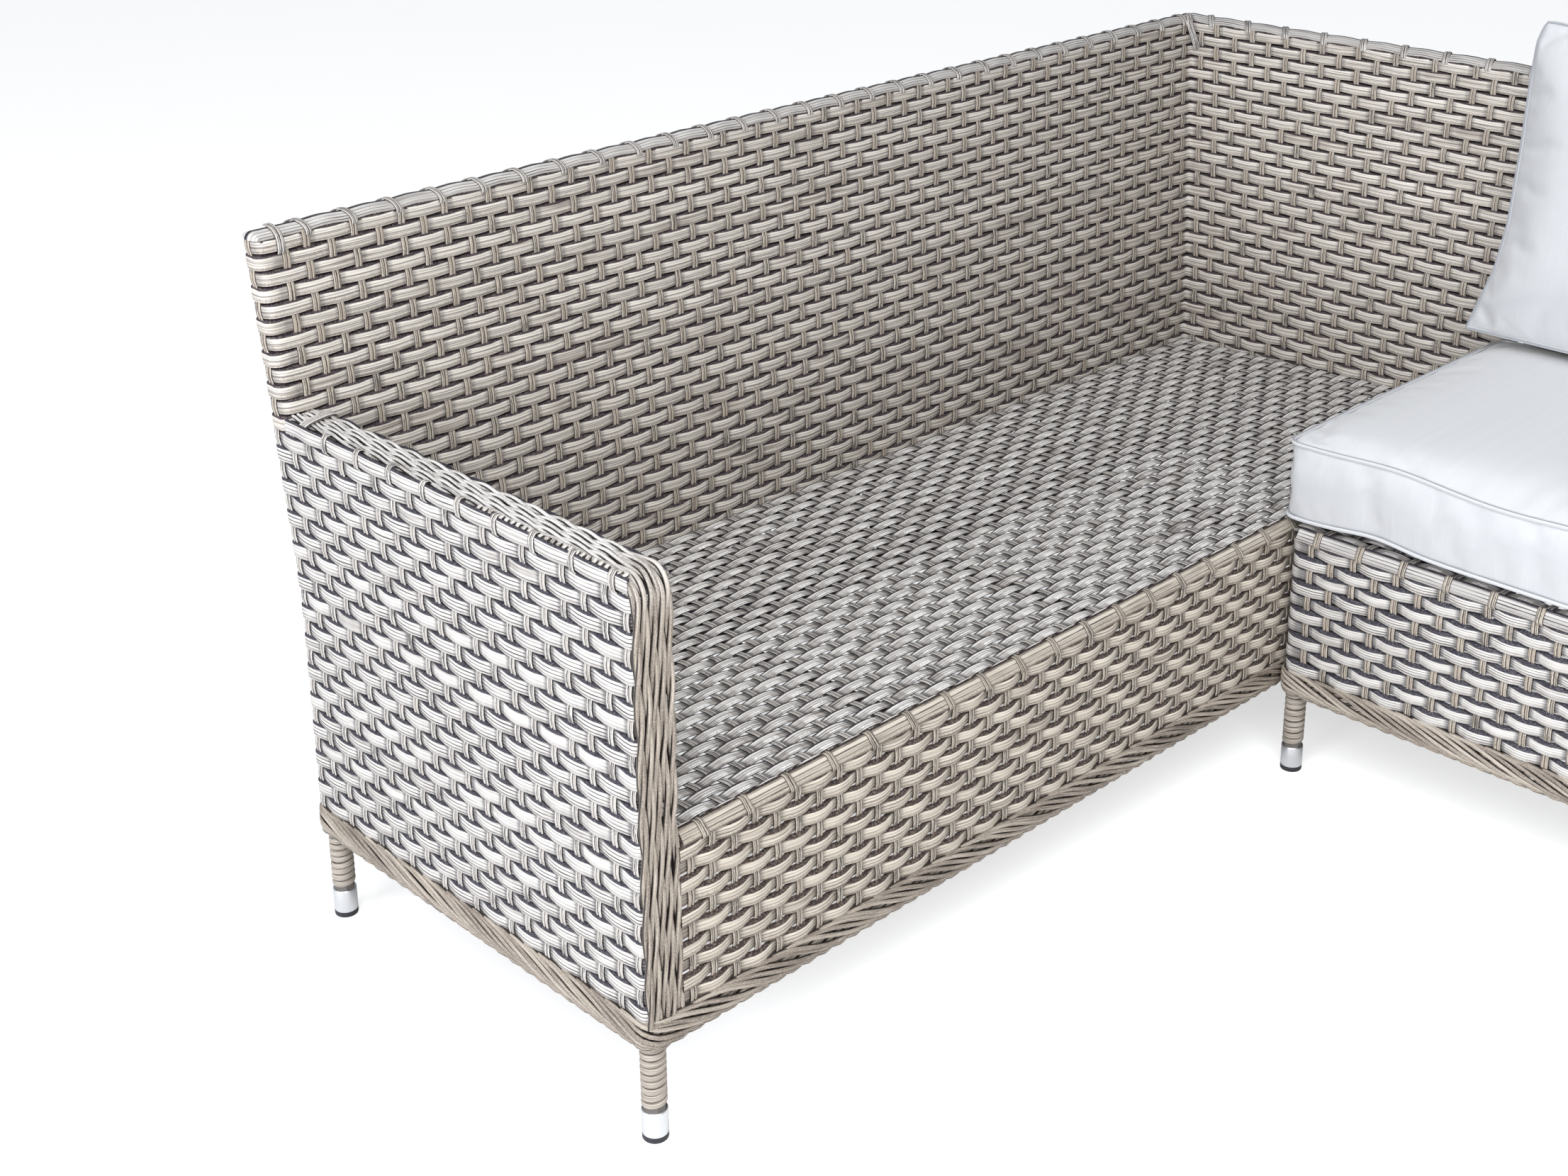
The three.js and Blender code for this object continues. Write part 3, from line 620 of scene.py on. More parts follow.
# Half widths and heights of the sections; a ribbon's upper edge slopes back behind the row above it
ribbonSection = np.array([(-1.0, -0.4), (-0.92, 0.65), (-0.42, 1.0), (0.24, 1.0), (0.58, 0.70), (0.74, -0.2),
                          (1.12, -2.4), (-0.6, -1.0)])
fullSection = np.array([(-1.0, -0.4), (-0.93, 0.65), (-0.42, 1.0), (0.44, 1.0), (0.82, 0.75), (0.92, -0.1),
                        (1.14, -2.2), (-0.6, -1.0)])
deckSection = np.array([(-1.0, -0.4), (-0.94, 0.65), (-0.42, 1.0), (0.42, 1.0), (0.84, 0.70), (1.0, -0.4),
                        (0.7, -1.0), (-0.7, -1.0)])
ribbonAcross = np.array([-1.08, -0.95, -0.46, 0.26, 0.66, 0.90, 1.3, -1.3])
deckAcross = np.array([-1.08, -0.95, -0.46, 0.42, 0.80, 1.0, 1.3, -1.3])
stakeSection = np.array([(-1.0, 0.0), (-0.72, 0.85), (-0.36, 0.95), (0.0, 0.40), (0.36, 0.95), (0.72, 0.85),
                         (1.0, 0.0), (0.0, -0.9)])
stakeAcross = np.array([-1.08, -0.74, -0.37, 0.0, 0.37, 0.74, 1.08, 1.3])


def rowHeight(j):
    low, high = min(j, weave["armRow"]), max(0, j - weave["armRow"])
    return weave["firstRow"] + weave["rowPitch"] * low + weave["highPitch"] * high


def addRibbon(strands, surface, centre, number, low, high, bulge, width=None, lift=0.0):
    u = surface.samples(low, high)
    ease = surface.ease(u)[:, None, None]
    deck = isinstance(surface, Deck)
    section = deckSection[None] if deck else fullSection * (1 - ease) + ribbonSection * ease
    beat = np.cos(np.pi * (surface.count(u) + number))
    flat = weave["deckFlat" if deck else "wallFlat"]
    beat = beat * (1 + flat - flat * beat * beat)
    half = (width or weave["ribbonWidth"]) / 2 * (1 - 0.03 * (1 - beat))
    knots = np.arange(0, len(u) + 9, 9)
    wobble = np.interp(np.arange(len(u)), knots, rng.normal(0, 0.35, len(knots)))
    t = (centre + wobble)[:, None] + half[:, None] * section[..., 0]
    point, normal, _ = surface.at(np.broadcast_to(u[:, None], t.shape), t)
    height = bulge * (0.60 + 0.40 * ease[:, 0, 0]) * beat - weave["sunk"] + lift
    offset = height[:, None] + section[..., 1] * weave["ribbonThick"] / 2
    rings, across = point + normal * offset[..., None], deckAcross if deck else ribbonAcross
    if surface.turned:
        rings, across = rings[:, ::-1], across[::-1]
    strands.add(rings, across, beat)


def addStake(strands, surface, u, number, low, high, rowAt, bulge, width=None, lift=0.0):
    t = np.arange(low, high + 0.1, weave["rowPitch"] / 3)
    t = np.append(t, high) if high - t[-1] > 1 else t
    beat = -np.cos(np.pi * (rowAt(t) + number))
    half = (width or weave["stakeWidth"]) / 2
    point, normal, ahead = surface.at(np.full(t.shape, u), t)
    side = rng.normal(0, 0.5) + np.interp(t, [low, (low + high) / 2, high], rng.normal(0, 0.6, 3))
    height = bulge * beat - weave["sunk"] + lift
    v, h = stakeSection[:, 0], stakeSection[:, 1]
    rings = (point + normal * height[:, None] + ahead * side[:, None])[:, None, :]
    rings = rings + ahead[:, None] * (half * v)[None, :, None]
    rings = rings + normal[:, None] * (weave["stakeThick"] / 2 * h)[None, :, None]
    strands.add(rings, stakeAcross, beat, 1)


def wallRows(z):
    above = z - rowHeight(weave["armRow"])
    return weave["armRow"] + above / np.where(above < 0, weave["rowPitch"], weave["highPitch"])


def addBand(strands, centres, out, width, thickness=2.6):  # a flat double strand along a course
    centres = np.asarray(centres, float)
    out, side = framed(centres, out)
    v, h = stakeSection[:, 0], stakeSection[:, 1]
    rings = centres[:, None] + side[:, None] * (width / 2 * v)[None, :, None]
    rings = rings + out[:, None] * (thickness / 2 * h)[None, :, None]
    strands.add(rings, stakeAcross, 0.0, 1)


def backBulge(z):
    return float(np.interp(z, *weave["backBulges"]))


def outerBulge(z):
    return weave["outerBulge"]


def addWeave(strands, wall, rows, bulges, low=None, high=None):
    low = wall.u[0] if low is None else low
    high = wall.u[-1] if high is None else high
    for j in rows:
        z = rowHeight(j)
        addRibbon(strands, wall, z, j, low, high, bulges(z), weave["highWidth"] if j > weave["armRow"] else None)


def addStakes(strands, wall, first, last, bottom, top):
    for u, number in zip(wall.stations, wall.numbers):
        if first <= number < last:
            addStake(strands, wall, u, number, bottom, top, wallRows, weave["stakeBulge"], lift=weave["stakeLift"])


depth, thick, armWidth, corner = form["depth"], form["thickness"], form["armWidth"], form["corner"]
wallX = longLength - thick
# Heights where stakes start and end
skinBottom, apronTop, deckZ = 152.0, 336, form["seatRear"]
armInside, armTop, backTop = form["arm"] - 12, form["arm"], form["top"] - 6

# Faces of the long module: two ends (x, y, share of the lean in x, in y) and the way each looks
longFaces = {
    "tuck": ((26, 5.5, 0, 0), (9, 5.5, 0, 0), (0, -1)),
    "side": ((0, 14.5, 0, 0), (0, depth - corner, 0, 1), (-1, 0)),
    "rear": ((corner, depth, 0, 1), (longLength - corner, depth, 1, 1), (0, 1)),
    "right": ((longLength, depth - corner, 1, 1), (longLength, corner, 1, 0), (1, 0)),
    "wallEnd": ((longLength - corner, 0, 1, 0), (wallX + corner, 0, 1, 0), (0, -1)),
    "wallFront": ((wallX, corner, 1, 0), (wallX, seatDepth, 1, 1), (-1, 0)),
    "backFront": ((wallX, seatDepth, 1, 1), (armWidth, seatDepth, 0, 1), (0, -1)),
    "backLong": ((wallX, seatDepth, 1, 1), (corner, seatDepth, 0, 1), (0, -1)),
    "leftEnd": ((0, seatDepth + corner, 0, 1), (0, depth - corner, 0, 1), (-1, 0)),
    "armInner": ((armWidth, seatDepth, 0, 1), (armWidth, 14.5, 0, 0), (1, 0)),
    "innerTuck": ((armWidth - 9, 5.5, 0, 0), (26, 5.5, 0, 0), (0, -1)),
    "apron": ((longLength - corner, 0, 0, 0), (armWidth - 4, 0, 0, 0), (0, -1)),
}
returnLength = form["returnLength"]
armU = returnLength - armWidth
returnFaces = {
    "tuck": ((returnLength - 26, 5.5, 0, 0), (returnLength - 9, 5.5, 0, 0), (0, -1)),
    "side": ((returnLength, 14.5, 0, 0), (returnLength, depth - corner, 0, 1), (1, 0)),
    "rear": ((returnLength - corner, depth, 0, 1), (corner, depth, 0, 1), (0, 1)),
    "endHigh": ((0, depth - corner, 0, 1), (0, seatDepth + corner, 0, 1), (-1, 0)),
    "endLow": ((0, depth - corner, 0, 1), (0, 19, 0, 0), (-1, 0)),
    "backFront": ((corner, seatDepth, 0, 1), (armU, seatDepth, 0, 1), (0, -1)),
    "backLong": ((corner, seatDepth, 0, 1), (returnLength - corner, seatDepth, 0, 1), (0, -1)),
    "freeEnd": ((returnLength, seatDepth + corner, 0, 1), (returnLength, depth - corner, 0, 1), (1, 0)),
    "armInner": ((armU, seatDepth, 0, 1), (armU, 14.5, 0, 0), (-1, 0)),
    "innerTuck": ((armU + 9, 5.5, 0, 0), (armU + 26, 5.5, 0, 0), (0, -1)),
    "apron": ((19, 0, 0, 0), (armU + 4, 0, 0, 0), (0, -1)),
}


def wallOf(faces, *names):
    return Wall([(name, *faces[name]) for name in names])


lowRows = range(0, 10)        # under the deck
middleRows = range(10, 25)    # from the deck to the arm
innerRows = range(9, 25)
highRows = range(25, 37)      # from the arm top up


sideStakes = [0.5 + 30.2 * i for i in range(20)]


def weaveLongModule():
    outer = Strands()
    low = wallOf(longFaces, "tuck", "side", "rear", "right", "apron")
    *_, apronFirst, apronLast = low.plant(0, side=sideStakes, rear=56, right=20, apron=54)
    addWeave(outer, low, lowRows, outerBulge, high=7.0)
    middle = wallOf(longFaces, "tuck", "side", "rear", "right", "wallEnd", "wallFront", "backFront", "armInner",
                    "innerTuck")
    _, rearFirst, _, wallFirst, _, armFirst, last = middle.plant(
        0, side=sideStakes, rear=56, right=20, wallFront=19, backFront=53, armInner=19)
    addWeave(outer, middle, middleRows, outerBulge, high=7.0)
    addStakes(outer, middle, 0, rearFirst, skinBottom, armInside)
    addStakes(outer, middle, rearFirst, wallFirst, skinBottom, backTop)
    outer.build("long_outer_weave", ["sideWicker", "paleStakes"],
                ["long_arm_outer_weave", "long_back_weave", "corner_wall_weave"])
    inner = Strands()
    addWeave(inner, middle, innerRows, backBulge, low=7.0)
    addStakes(inner, middle, wallFirst, armFirst, deckZ - 2, backTop)
    addStakes(inner, middle, armFirst, last, deckZ + 4, armInside)
    inner.build("long_inner_weave", ["ribbonWicker", "stakeWicker"],
                ["long_back_weave", "corner_wall_weave", "long_arm_inner_weave"])
    upper = Strands()
    high = wallOf(longFaces, "rear", "right", "wallEnd", "wallFront", "backLong", "leftEnd", "rear")
    span = wallX - armWidth
    *_, last = high.plant(20, rear=56, right=20, wallFront=19,
                          backLong=[(i + 0.5) * span / 53 for i in range(53)] + [span + 14.0], leftEnd=[3.5])
    high.plantHalf(6, 56)
    addWeave(upper, high, highRows, backBulge, low=0.5, high=12.5)
    addStakes(upper, high, last - 2, last, armTop - 6, backTop)
    upper.build("long_upper_weave", ["upperWicker", "stakeWicker"],
                ["long_back_weave", "corner_wall_weave"])
    apron = Strands()
    addWeave(apron, low, lowRows, outerBulge, low=7.0)
    addStakes(apron, low, apronFirst, apronLast, skinBottom, apronTop)
    apron.build("long_apron", ["frontWicker", "stakeWicker"], ["long_apron_weave"])


def weaveReturnModule():
    outer = Strands(inReturn)
    low = wallOf(returnFaces, "tuck", "side", "rear", "endLow", "apron")
    _, _, endFirst, _, last = low.plant(0, side=sideStakes, rear=35, endLow=19, apron=33)
    addWeave(outer, low, lowRows, outerBulge)
    addStakes(outer, low, endFirst, last, skinBottom, apronTop)
    middle = wallOf(returnFaces, "tuck", "side", "rear", "endHigh", "backFront", "armInner", "innerTuck")
    _, rearFirst, endFirst, _, armFirst, last = middle.plant(
        0, side=sideStakes, rear=35, endHigh=[3.5], backFront=33, armInner=19)
    addStakes(outer, middle, 0, rearFirst, skinBottom, armInside)
    addStakes(outer, middle, rearFirst, endFirst, skinBottom, backTop)
    outer.build("return_outer_weave", ["sideWicker", "stakeWicker"],
                ["return_arm_outer_weave", "return_back_weave", "return_apron_weave", "return_end_weave"])
    inner = Strands(inReturn)
    addWeave(inner, middle, innerRows, backBulge)
    addStakes(inner, middle, endFirst, armFirst, deckZ - 2, backTop)
    addStakes(inner, middle, armFirst, last, deckZ + 4, armInside)
    high = wallOf(returnFaces, "rear", "endHigh", "backLong", "freeEnd", "rear")
    span = armU - corner
    *_, last = high.plant(20, rear=35, endHigh=[3.5],
                          backLong=[(i + 0.5) * span / 33 for i in range(33)] + [span + 18.0], freeEnd=[3.5])
    high.plantHalf(4, 35)
    addWeave(inner, high, highRows, backBulge, low=0.5, high=8.5)
    addStakes(inner, high, last - 2, last, armTop - 6, backTop)
    inner.build("return_inner_weave", ["ribbonWicker", "stakeWicker"],
                ["return_back_weave", "return_arm_inner_weave"])


weaveLongModule()
weaveReturnModule()

deckWeave = {"rows": 31, "start": 9, "pitch": 18.3, "width": 17.9, "bulge": 1.55, "firstCentre": 15.2,
             "firstWidth": 13.0, "firstLift": -1.6, "stakeBulge": 0.9, "stakeWidth": 9.2, "stakeLift": -0.5}


def deckRow(t):
    return (t - deckWeave["start"]) / deckWeave["pitch"]


def weaveDeck(name, node, low, high, stakes, place, first):
    deck = Deck(low, high, stakes)
    strands = Strands(place)
    # The first course lies behind the ribbon that folds over the edge
    addRibbon(strands, deck, deckWeave["firstCentre"], first, low, high, deckWeave["bulge"], deckWeave["firstWidth"],
              deckWeave["firstLift"])
    for j in range(1, deckWeave["rows"]):
        centre = deckWeave["start"] + deckWeave["pitch"] * j
        addRibbon(strands, deck, centre, j + first, low, high, deckWeave["bulge"], deckWeave["width"])
    for u, number in zip(deck.stations, deck.numbers):
        addStake(strands, deck, u, number + first, deckWeave["start"] + 0.5, seatDepth - 2, deckRow,
                 deckWeave["stakeBulge"], deckWeave["stakeWidth"], lift=deckWeave["stakeLift"])
    strands.build(name, ["deckWicker", "paleStakes"], [node])


weaveDeck("long_deck", "long_seat_weave", armWidth + 1, wallX - 1, 53, inLong, 0)
weaveDeck("return_deck", "return_seat_weave", 2, armU - 1, 34, inReturn, 1)


# Round cords

def addCord(strands, centres, radius, out, sides=6, slot=0, swing=0.0, loop=False, flat=1.0):
    centres = np.asarray(centres, float)
    out, side = framed(centres, out, loop)
    angles = 2 * np.pi * np.arange(sides) / sides
    radius = np.broadcast_to(np.asarray(radius, float), (len(centres),))[:, None, None]
    spokes = np.cos(angles)[None, :, None] * side[:, None] - flat * np.sin(angles)[None, :, None] * out[:, None]
    across = 1 - 2 * np.abs(2 * np.arange(sides) / sides - 1)
    strands.add(centres[:, None] + radius * spokes, across, swing, slot, loop=loop)


def inReturnArm(points):
    return inReturn(points * (-1, 1, 1) + (returnLength, 0, 0))


# Five twisted pairs on each arm: where they lie across it at the back, along the top and down the front
armCords = {"rearAt": (13.2, 20.6, 28.0, 35.4, 42.8), "topAt": (11.8, 20.0, 28.2, 36.4, 44.6),
            "columnAt": (5.2, 15.0, 24.8, 34.6, 44.4), "share": 0.315, "rise": 2.0, "pitchTop": 84.0,
            "pitchColumn": 125.0, "start": 598.0, "height": 638.0, "bendAt": 28.0, "bendRadius": 25.0,
            "foot": 139.0, "step": 6.0}


def armPath():  # y, z and the way out, from the back over the arm and down its front
    height, bendAt, radius = armCords["height"], armCords["bendAt"], armCords["bendRadius"]
    y = [armCords["start"], *np.arange(armCords["start"] - 8, bendAt + 1, -armCords["step"]), bendAt]
    points = [(v, height, 0.0, 1.0) for v in y]
    for step in range(1, 8):
        angle = math.pi / 2 * step / 8
        points.append((bendAt - radius * math.sin(angle), height - radius + radius * math.cos(angle),
                       -math.sin(angle), math.cos(angle)))
    points += [(bendAt - radius, z, -1.0, 0.0)
               for z in np.arange(height - radius, armCords["foot"], -armCords["step"])]
    return np.array(points)


def buildArmCords(name, node, place, mirrored):
    strands = Strands(place, mirrored)
    path = armPath()
    step = np.linalg.norm(np.diff(path[:, :2], axis=0), axis=1)
    s = np.concatenate([[0], np.cumsum(step)])
    wide = np.clip((560 - path[:, 0]) / 400, 0, 1) ** 0.8
    low = np.clip((s - 520) / 75, 0, 1)  # 0 along the top, 1 down the front
    low = low * low * (3 - 2 * low)
    pitch = np.where(path[:, 0] > 60, armCords["pitchTop"], armCords["pitchColumn"])
    turn = np.concatenate([[0], np.cumsum(step / pitch[1:])]) * 2 * np.pi
    spacing = 7.4 + 0.9 * wide + 1.5 * low
    bright = np.clip(1.15 - (s - 500) / 110, 0, 1)  # the top catches the light
    base = np.stack([0 * s, path[:, 0], path[:, 1]], -1)
    normal = np.stack([0 * s, path[:, 2], path[:, 3]], -1)
    for rear, top, column in zip(armCords["rearAt"], armCords["topAt"], armCords["columnAt"]):
        at = (rear * (1 - wide) + top * wide) * (1 - low) + column * low
        drift = np.interp(s, np.linspace(0, s[-1], 9), rng.normal(0, 0.5, 9))
        start = rng.random() * 2 * np.pi
        for strand in (0, 1):
            wander = np.interp(s, np.linspace(0, s[-1], 12), rng.normal(0, 0.25, 12))
            angle = turn + start + np.pi * strand + wander
            centres = base + normal * (armCords["rise"] * np.sin(angle) - 1.3)[:, None]
            centres[:, 0] += at + drift + 0.25 * spacing * np.cos(angle)
            addCord(strands, centres, armCords["share"] * spacing, normal, swing=bright)
    bed = [(-1, -0.6), (-1, 0.6), (1, 0.6), (1, -0.6)]  # a flat band under the cords, in the dark flank colour: painted shade beneath them
    rings = np.array([[point - direction * 4.5 + direction * h + (25.5 + 21 * v, 0, 0) for v, h in bed]
                      for point, direction in zip(base, normal)])
    strands.add(rings, [1.3, 1.3, 1.3, 1.3], 0.0, 1, 0.5)
    strands.build(name, ["cordWicker", "ribbonWicker"], [node])


buildArmCords("long_arm_cording", "long_arm_cords", inLong, False)
buildArmCords("return_arm_cording", "return_arm_cords", inReturnArm, True)


# Twisted border round the foot of each module

border = {"middle": 136.0, "rise": 13.4, "inset": 1.4, "out": 2.4, "radius": 3.3, "pitch": 230.0, "cords": 10,
          "corner": 19.0}
footPair = {"middle": 119.6, "rise": 2.0, "inset": 1.6, "out": 1.6, "radius": 2.3, "pitch": 46}  # twisted, under it


def loopAround(length, width, radius, step):
    points = []
    corners = [(radius, radius, 180), (length - radius, radius, 270), (length - radius, width - radius, 0),
               (radius, width - radius, 90)]
    sides = [((0, width - radius), (0, radius), (-1, 0)), ((radius, 0), (length - radius, 0), (0, -1)),
             ((length, radius), (length, width - radius), (1, 0)),
             ((length - radius, width), (radius, width), (0, 1))]
    for (start, end, normal), (cx, cy, angle) in zip(sides, corners):
        count = max(2, round(np.linalg.norm(np.subtract(end, start)) / step))
        for i in range(count):
            points.append((*(np.array(start) + np.subtract(end, start) * i / count), *normal))
        for i in range(4):
            turn = math.radians(angle + 90 * i / 4)
            points.append((cx + radius * math.cos(turn), cy + radius * math.sin(turn),
                           math.cos(turn), math.sin(turn)))
    return np.array(points)


def buildBorder(name, node, length, place):
    strands = Strands(place)
    path = loopAround(length, depth, border["corner"], 12.0)
    closed = np.concatenate([path, path[:1]])
    s = np.concatenate([[0], np.cumsum(np.linalg.norm(np.diff(closed[:, :2], axis=0), axis=1))])
    total, s = s[-1], s[:-1]
    outward = np.stack([path[:, 2], path[:, 3], 0 * s], -1)
    ground = np.stack([path[:, 0], path[:, 1], 0 * s], -1)

    def twist(course, share, wander, slot):
        angle = 2 * np.pi * (round(total / course["pitch"]) * s / total + share) + wander
        centres = ground + outward * (course["out"] * np.sin(angle) - course["inset"])[:, None]
        centres[:, 2] = course["middle"] + course["rise"] * np.cos(angle)
        addCord(strands, centres, course["radius"], outward, slot=slot, loop=True)

    for i in range(border["cords"]):
        knots = rng.normal(0, 0.12, 39)
        wander = np.interp(s, np.linspace(0, total, 40), np.append(knots, knots[0]))
        twist(border, i / border["cords"], wander, 0)
    for i in (0, 1):
        twist(footPair, i / 2, 0.0, 1)
    strands.build(name, ["cordWicker", "stakeWicker"], [node])


buildBorder("long_border_cords", "long_border", longLength, inLong)
buildBorder("return_border_cords", "return_border", returnLength, inReturn)


# Rails along the tops of the backs, wrapped every second stake

# Sections across the rail: how far to the front, and how high over its base
rail = {"halfWidth": 19.0, "base": 837.0, "end": 8.6, "wrapPitch": 60.6, "scallop": 2.2, "step": 7.6,
        "ribbon": ((16.6, 0.3), (16.2, 2.3), (13.4, 5.2), (8.6, 7.3), (2.6, 8.5), (-3.6, 8.1), (-3.0, 6.4),
                   (6.0, 5.6), (14.0, 1.6)),
        "ribbonAcross": (-0.98, -0.70, -0.22, 0.24, 0.60, 0.82, 1.3, 1.3, 1.3),
        "wrap": ((17.8, -3.8), (18.4, -0.8), (17.5, 2.0), (14.6, 5.3), (10.4, 7.7), (5.4, 9.2), (0.0, 9.6),
                 (-5.4, 8.9), (-10.4, 7.1), (-14.6, 4.5), (-17.4, 1.1), (-18.3, -1.8)),
        "bed": ((16.4, -2.5), (15.8, 0.0), (13.0, 2.6), (7.0, 3.8), (-7.0, 3.8), (-13.0, 2.6), (-15.8, 0.0),
                (-16.4, -2.5)),
        "frontWrap": ((-4.0, 10.4), (4.0, 10.4), (11.0, 9.2), (15.6, 6.6), (19.6, 2.4), (21.4, -4.0),
                      (21.4, -13.0), (19.0, -17.0)),
        "wallWraps": 9, "lean": 0.24}
# The strand that hangs down over the inner corner: past the wall's face, past the back's face and its height
hanging = ((2.0, 8.0, 846.0), (-8.0, -2.0, 842.0), (-13.0, -5.0, 836.0), (-10.0, -7.0, 826.0),
           (-7.0, -10.0, 814.0), (-5.0, -13.0, 802.0), (-3.0, -13.0, 798.0))


class BackRail:  # a rail along one back to its end, or without an end round the corner wall
    def __init__(self, end=None):
        self.end, self.turns = end, end is None

    def place(self, station, q, h):  # q to the front and h up, at a share of one stretch of the rail
        z = rail["base"] + h
        lean = leanAt(z)
        middle = depth - thick / 2 + lean
        kind, share = station
        if kind == "start" or kind == "finish" and not self.turns:
            tip = rail["end"] if kind == "start" else self.end - rail["end"]
            way = -1 if kind == "start" else 1
            angle = math.pi / 2 * share
            across = depth - thick / 2 + float(leanAt(rail["base"])) - q
            return np.stack([tip + way * h * math.sin(angle) + 0 * q, across, rail["base"] + h * math.cos(angle)], -1)
        low = rail["end"]
        if not self.turns:
            return np.stack([low + (self.end - low - low) * share + 0 * q, middle - q, z + 0 * q], -1)
        cornerX = wallX + thick / 2 + lean
        bend = np.maximum(0.6, (rail["halfWidth"] - q) * 0.4)
        if kind == "run":
            return np.stack([low + (cornerX - q - bend - low) * share, middle - q, z + 0 * q], -1)
        if kind == "bend":
            angle = math.pi / 2 * share
            return np.stack([cornerX - q - bend + bend * math.sin(angle), middle - q - bend + bend * math.cos(angle),
                             z + 0 * q], -1)
        if kind == "wall":
            high = middle - q - bend
            return np.stack([cornerX - q, high + (low - high) * share, z + 0 * q], -1)
        angle = math.pi / 2 * share
        across = wallX + thick / 2 + float(leanAt(rail["base"])) - q
        return np.stack([across, low - h * math.sin(angle), rail["base"] + h * math.cos(angle)], -1)

    def run(self):
        if not self.turns:
            return self.end - 2 * rail["end"]
        return wallX + thick / 2 + float(leanAt(rail["base"])) - 0.4 * rail["halfWidth"] - rail["end"]

    def wraps(self, first):
        places = np.arange(first, self.run() - 4, rail["wrapPitch"])
        found = [((x - rail["end"]) / self.run(), "run") for x in places]
        count = rail["wallWraps"]
        return found + [(share, "wall") for share in np.arange(0.5, count) / count] if self.turns else found

    def stations(self, first):  # each with how far the ribbon stands off there, between two wraps
        run = self.run()
        count = round(run / rail["step"])
        found = [("start", 1 - i / 4, 0.0) for i in range(4)]
        for i in range(count + 1):
            turn = math.pi * (run * i / count + rail["end"] - first) / rail["wrapPitch"]
            found.append(("run", i / count, math.sin(turn) ** 2 if turn > 0 else 0.0))
        if self.turns:
            found += [("bend", i / 4, 0.4) for i in (1, 2, 3)]
            count = 8 * rail["wallWraps"]
            found += [("wall", i / count, math.sin(math.pi * (i / 8 - 0.5)) ** 2) for i in range(count + 1)]
        return found + [("finish", (i + 1) / 4, 0.0) for i in range(4)]


def buildRail(name, node, course, first, place):
    strands = Strands(place)
    stations = course.stations(first)
    # The bed under the ribbons takes the dark flank colour: painted shade between the two ribbons
    bed = np.array(rail["bed"])
    rings = [course.place((kind, share), bed[:, 0], bed[:, 1]) for kind, share, _ in stations]
    strands.add(rings, np.linspace(0.86, 2.6, len(bed)), 0.0, 2)
    ribbon = np.array(rail["ribbon"])
    across = np.array(rail["ribbonAcross"])
    for way in (1, -1):  # one ribbon along the front of the top, one along its rear, a little lower
        rings = []
        for kind, share, swell in stations:
            q = ribbon[:, 0] + rail["scallop"] * 0.5 * swell
            h = ribbon[:, 1] + rail["scallop"] * (swell - 0.25) * 0.8 - (0.9 if way < 0 else 0.0)
            lowest = 0.5 if kind in ("start", "finish") else -9
            rings.append(course.place((kind, share), way * q, np.maximum(h, lowest)))
        rings = np.array(rings)
        strands.add(rings if way > 0 else rings[:, ::-1], across if way > 0 else across[::-1])
    q, h = np.array(rail["wrap"]).T
    for share, kind in course.wraps(first):
        over = course.place((kind, share), q, h)
        ahead = course.place((kind, share + 0.002), 0 * q, 0 * q) - course.place((kind, share), 0 * q, 0 * q)
        centres = over + ahead / np.linalg.norm(ahead, axis=1, keepdims=True) * (rail["lean"] * q)[:, None]
        addBand(strands, centres, centres - (centres.mean(0) - (0, 0, 6)), 10.0, 2.4)
    q, h = np.array(rail["frontWrap"]).T  # and over the top row beside each free end
    for at in (22.0,) if course.turns else (22.0, course.run() - 6.0):
        addBand(strands, course.place(("run", at / course.run()), q, h)[::-1], (0.0, -1.0, 0.4), 10.0)
    if course.turns:
        x, y, z = np.array(hanging).T
        centres = np.stack([wallX + leanAt(z) + x, seatDepth + leanAt(z) + y, z], -1)
        addBand(strands, centres, (-1.0, -1.0, 0.15), 10.5)
    # The rail takes the lit copies made for the side faces and the paler stakes: painted light
    strands.build(name, ["sideWicker", "paleStakes", "ribbonWicker"], [node])


buildRail("long_top_rail", "long_back_weave", BackRail(), 65.0, inLong)
buildRail("return_top_rail", "return_back_weave", BackRail(returnLength), 30.0, inReturn)


# Flat ribbon folded over the front edge of each deck, with wraps over it; sections in y and z

edge = {"section": ((-0.4, 337.0), (-1.5, 338.6), (-1.1, 340.8), (0.8, 343.4), (3.5, 346.9), (6.2, 350.3),
                    (8.2, 351.8), (12.4, 352.0), (11.0, 349.0), (1.4, 339.6)),
        "across": (1.3, 1.3, 1.25, 0.74, 0.50, 0.12, -0.30, -0.62, -0.86, -1.0), "shade": -0.55, "step": 30,
        "wrap": ((2.6, 334.2), (-1.2, 335.8), (-2.5, 338.2), (-2.0, 341.4), (1.6, 346.2), (5.4, 351.0),
                 (8.2, 352.4), (11.2, 352.4), (13.4, 349.0)),
        "wrapPitch": 61.0, "wrapWidth": 10.0, "wrapThick": 1.7, "wrapLean": 5.0}


def buildFrontEdge(name, node, material, low, high, firstWrap, place):
    strands = Strands(place)
    x = np.arange(low, high + 1, (high - low) / round((high - low) / edge["step"]))
    rings = np.array([[(at, y, z) for y, z in edge["section"]] for at in x])
    strands.add(rings[:, ::-1], edge["across"], edge["shade"])
    for at in np.arange(firstWrap, high - 6, edge["wrapPitch"]):
        centres = [(at - edge["wrapLean"] * (i / 8 - 0.5), y, z) for i, (y, z) in enumerate(edge["wrap"])]
        outward = [(0, y - 8.6, z - 342.0) for y, z in edge["wrap"]]
        addBand(strands, centres, outward, edge["wrapWidth"], edge["wrapThick"])
    strands.build(name, [material, "stakeWicker"], [node])


# Ribbons that close the tops of the arm's two sides: sections in height and in how far they stand off the side

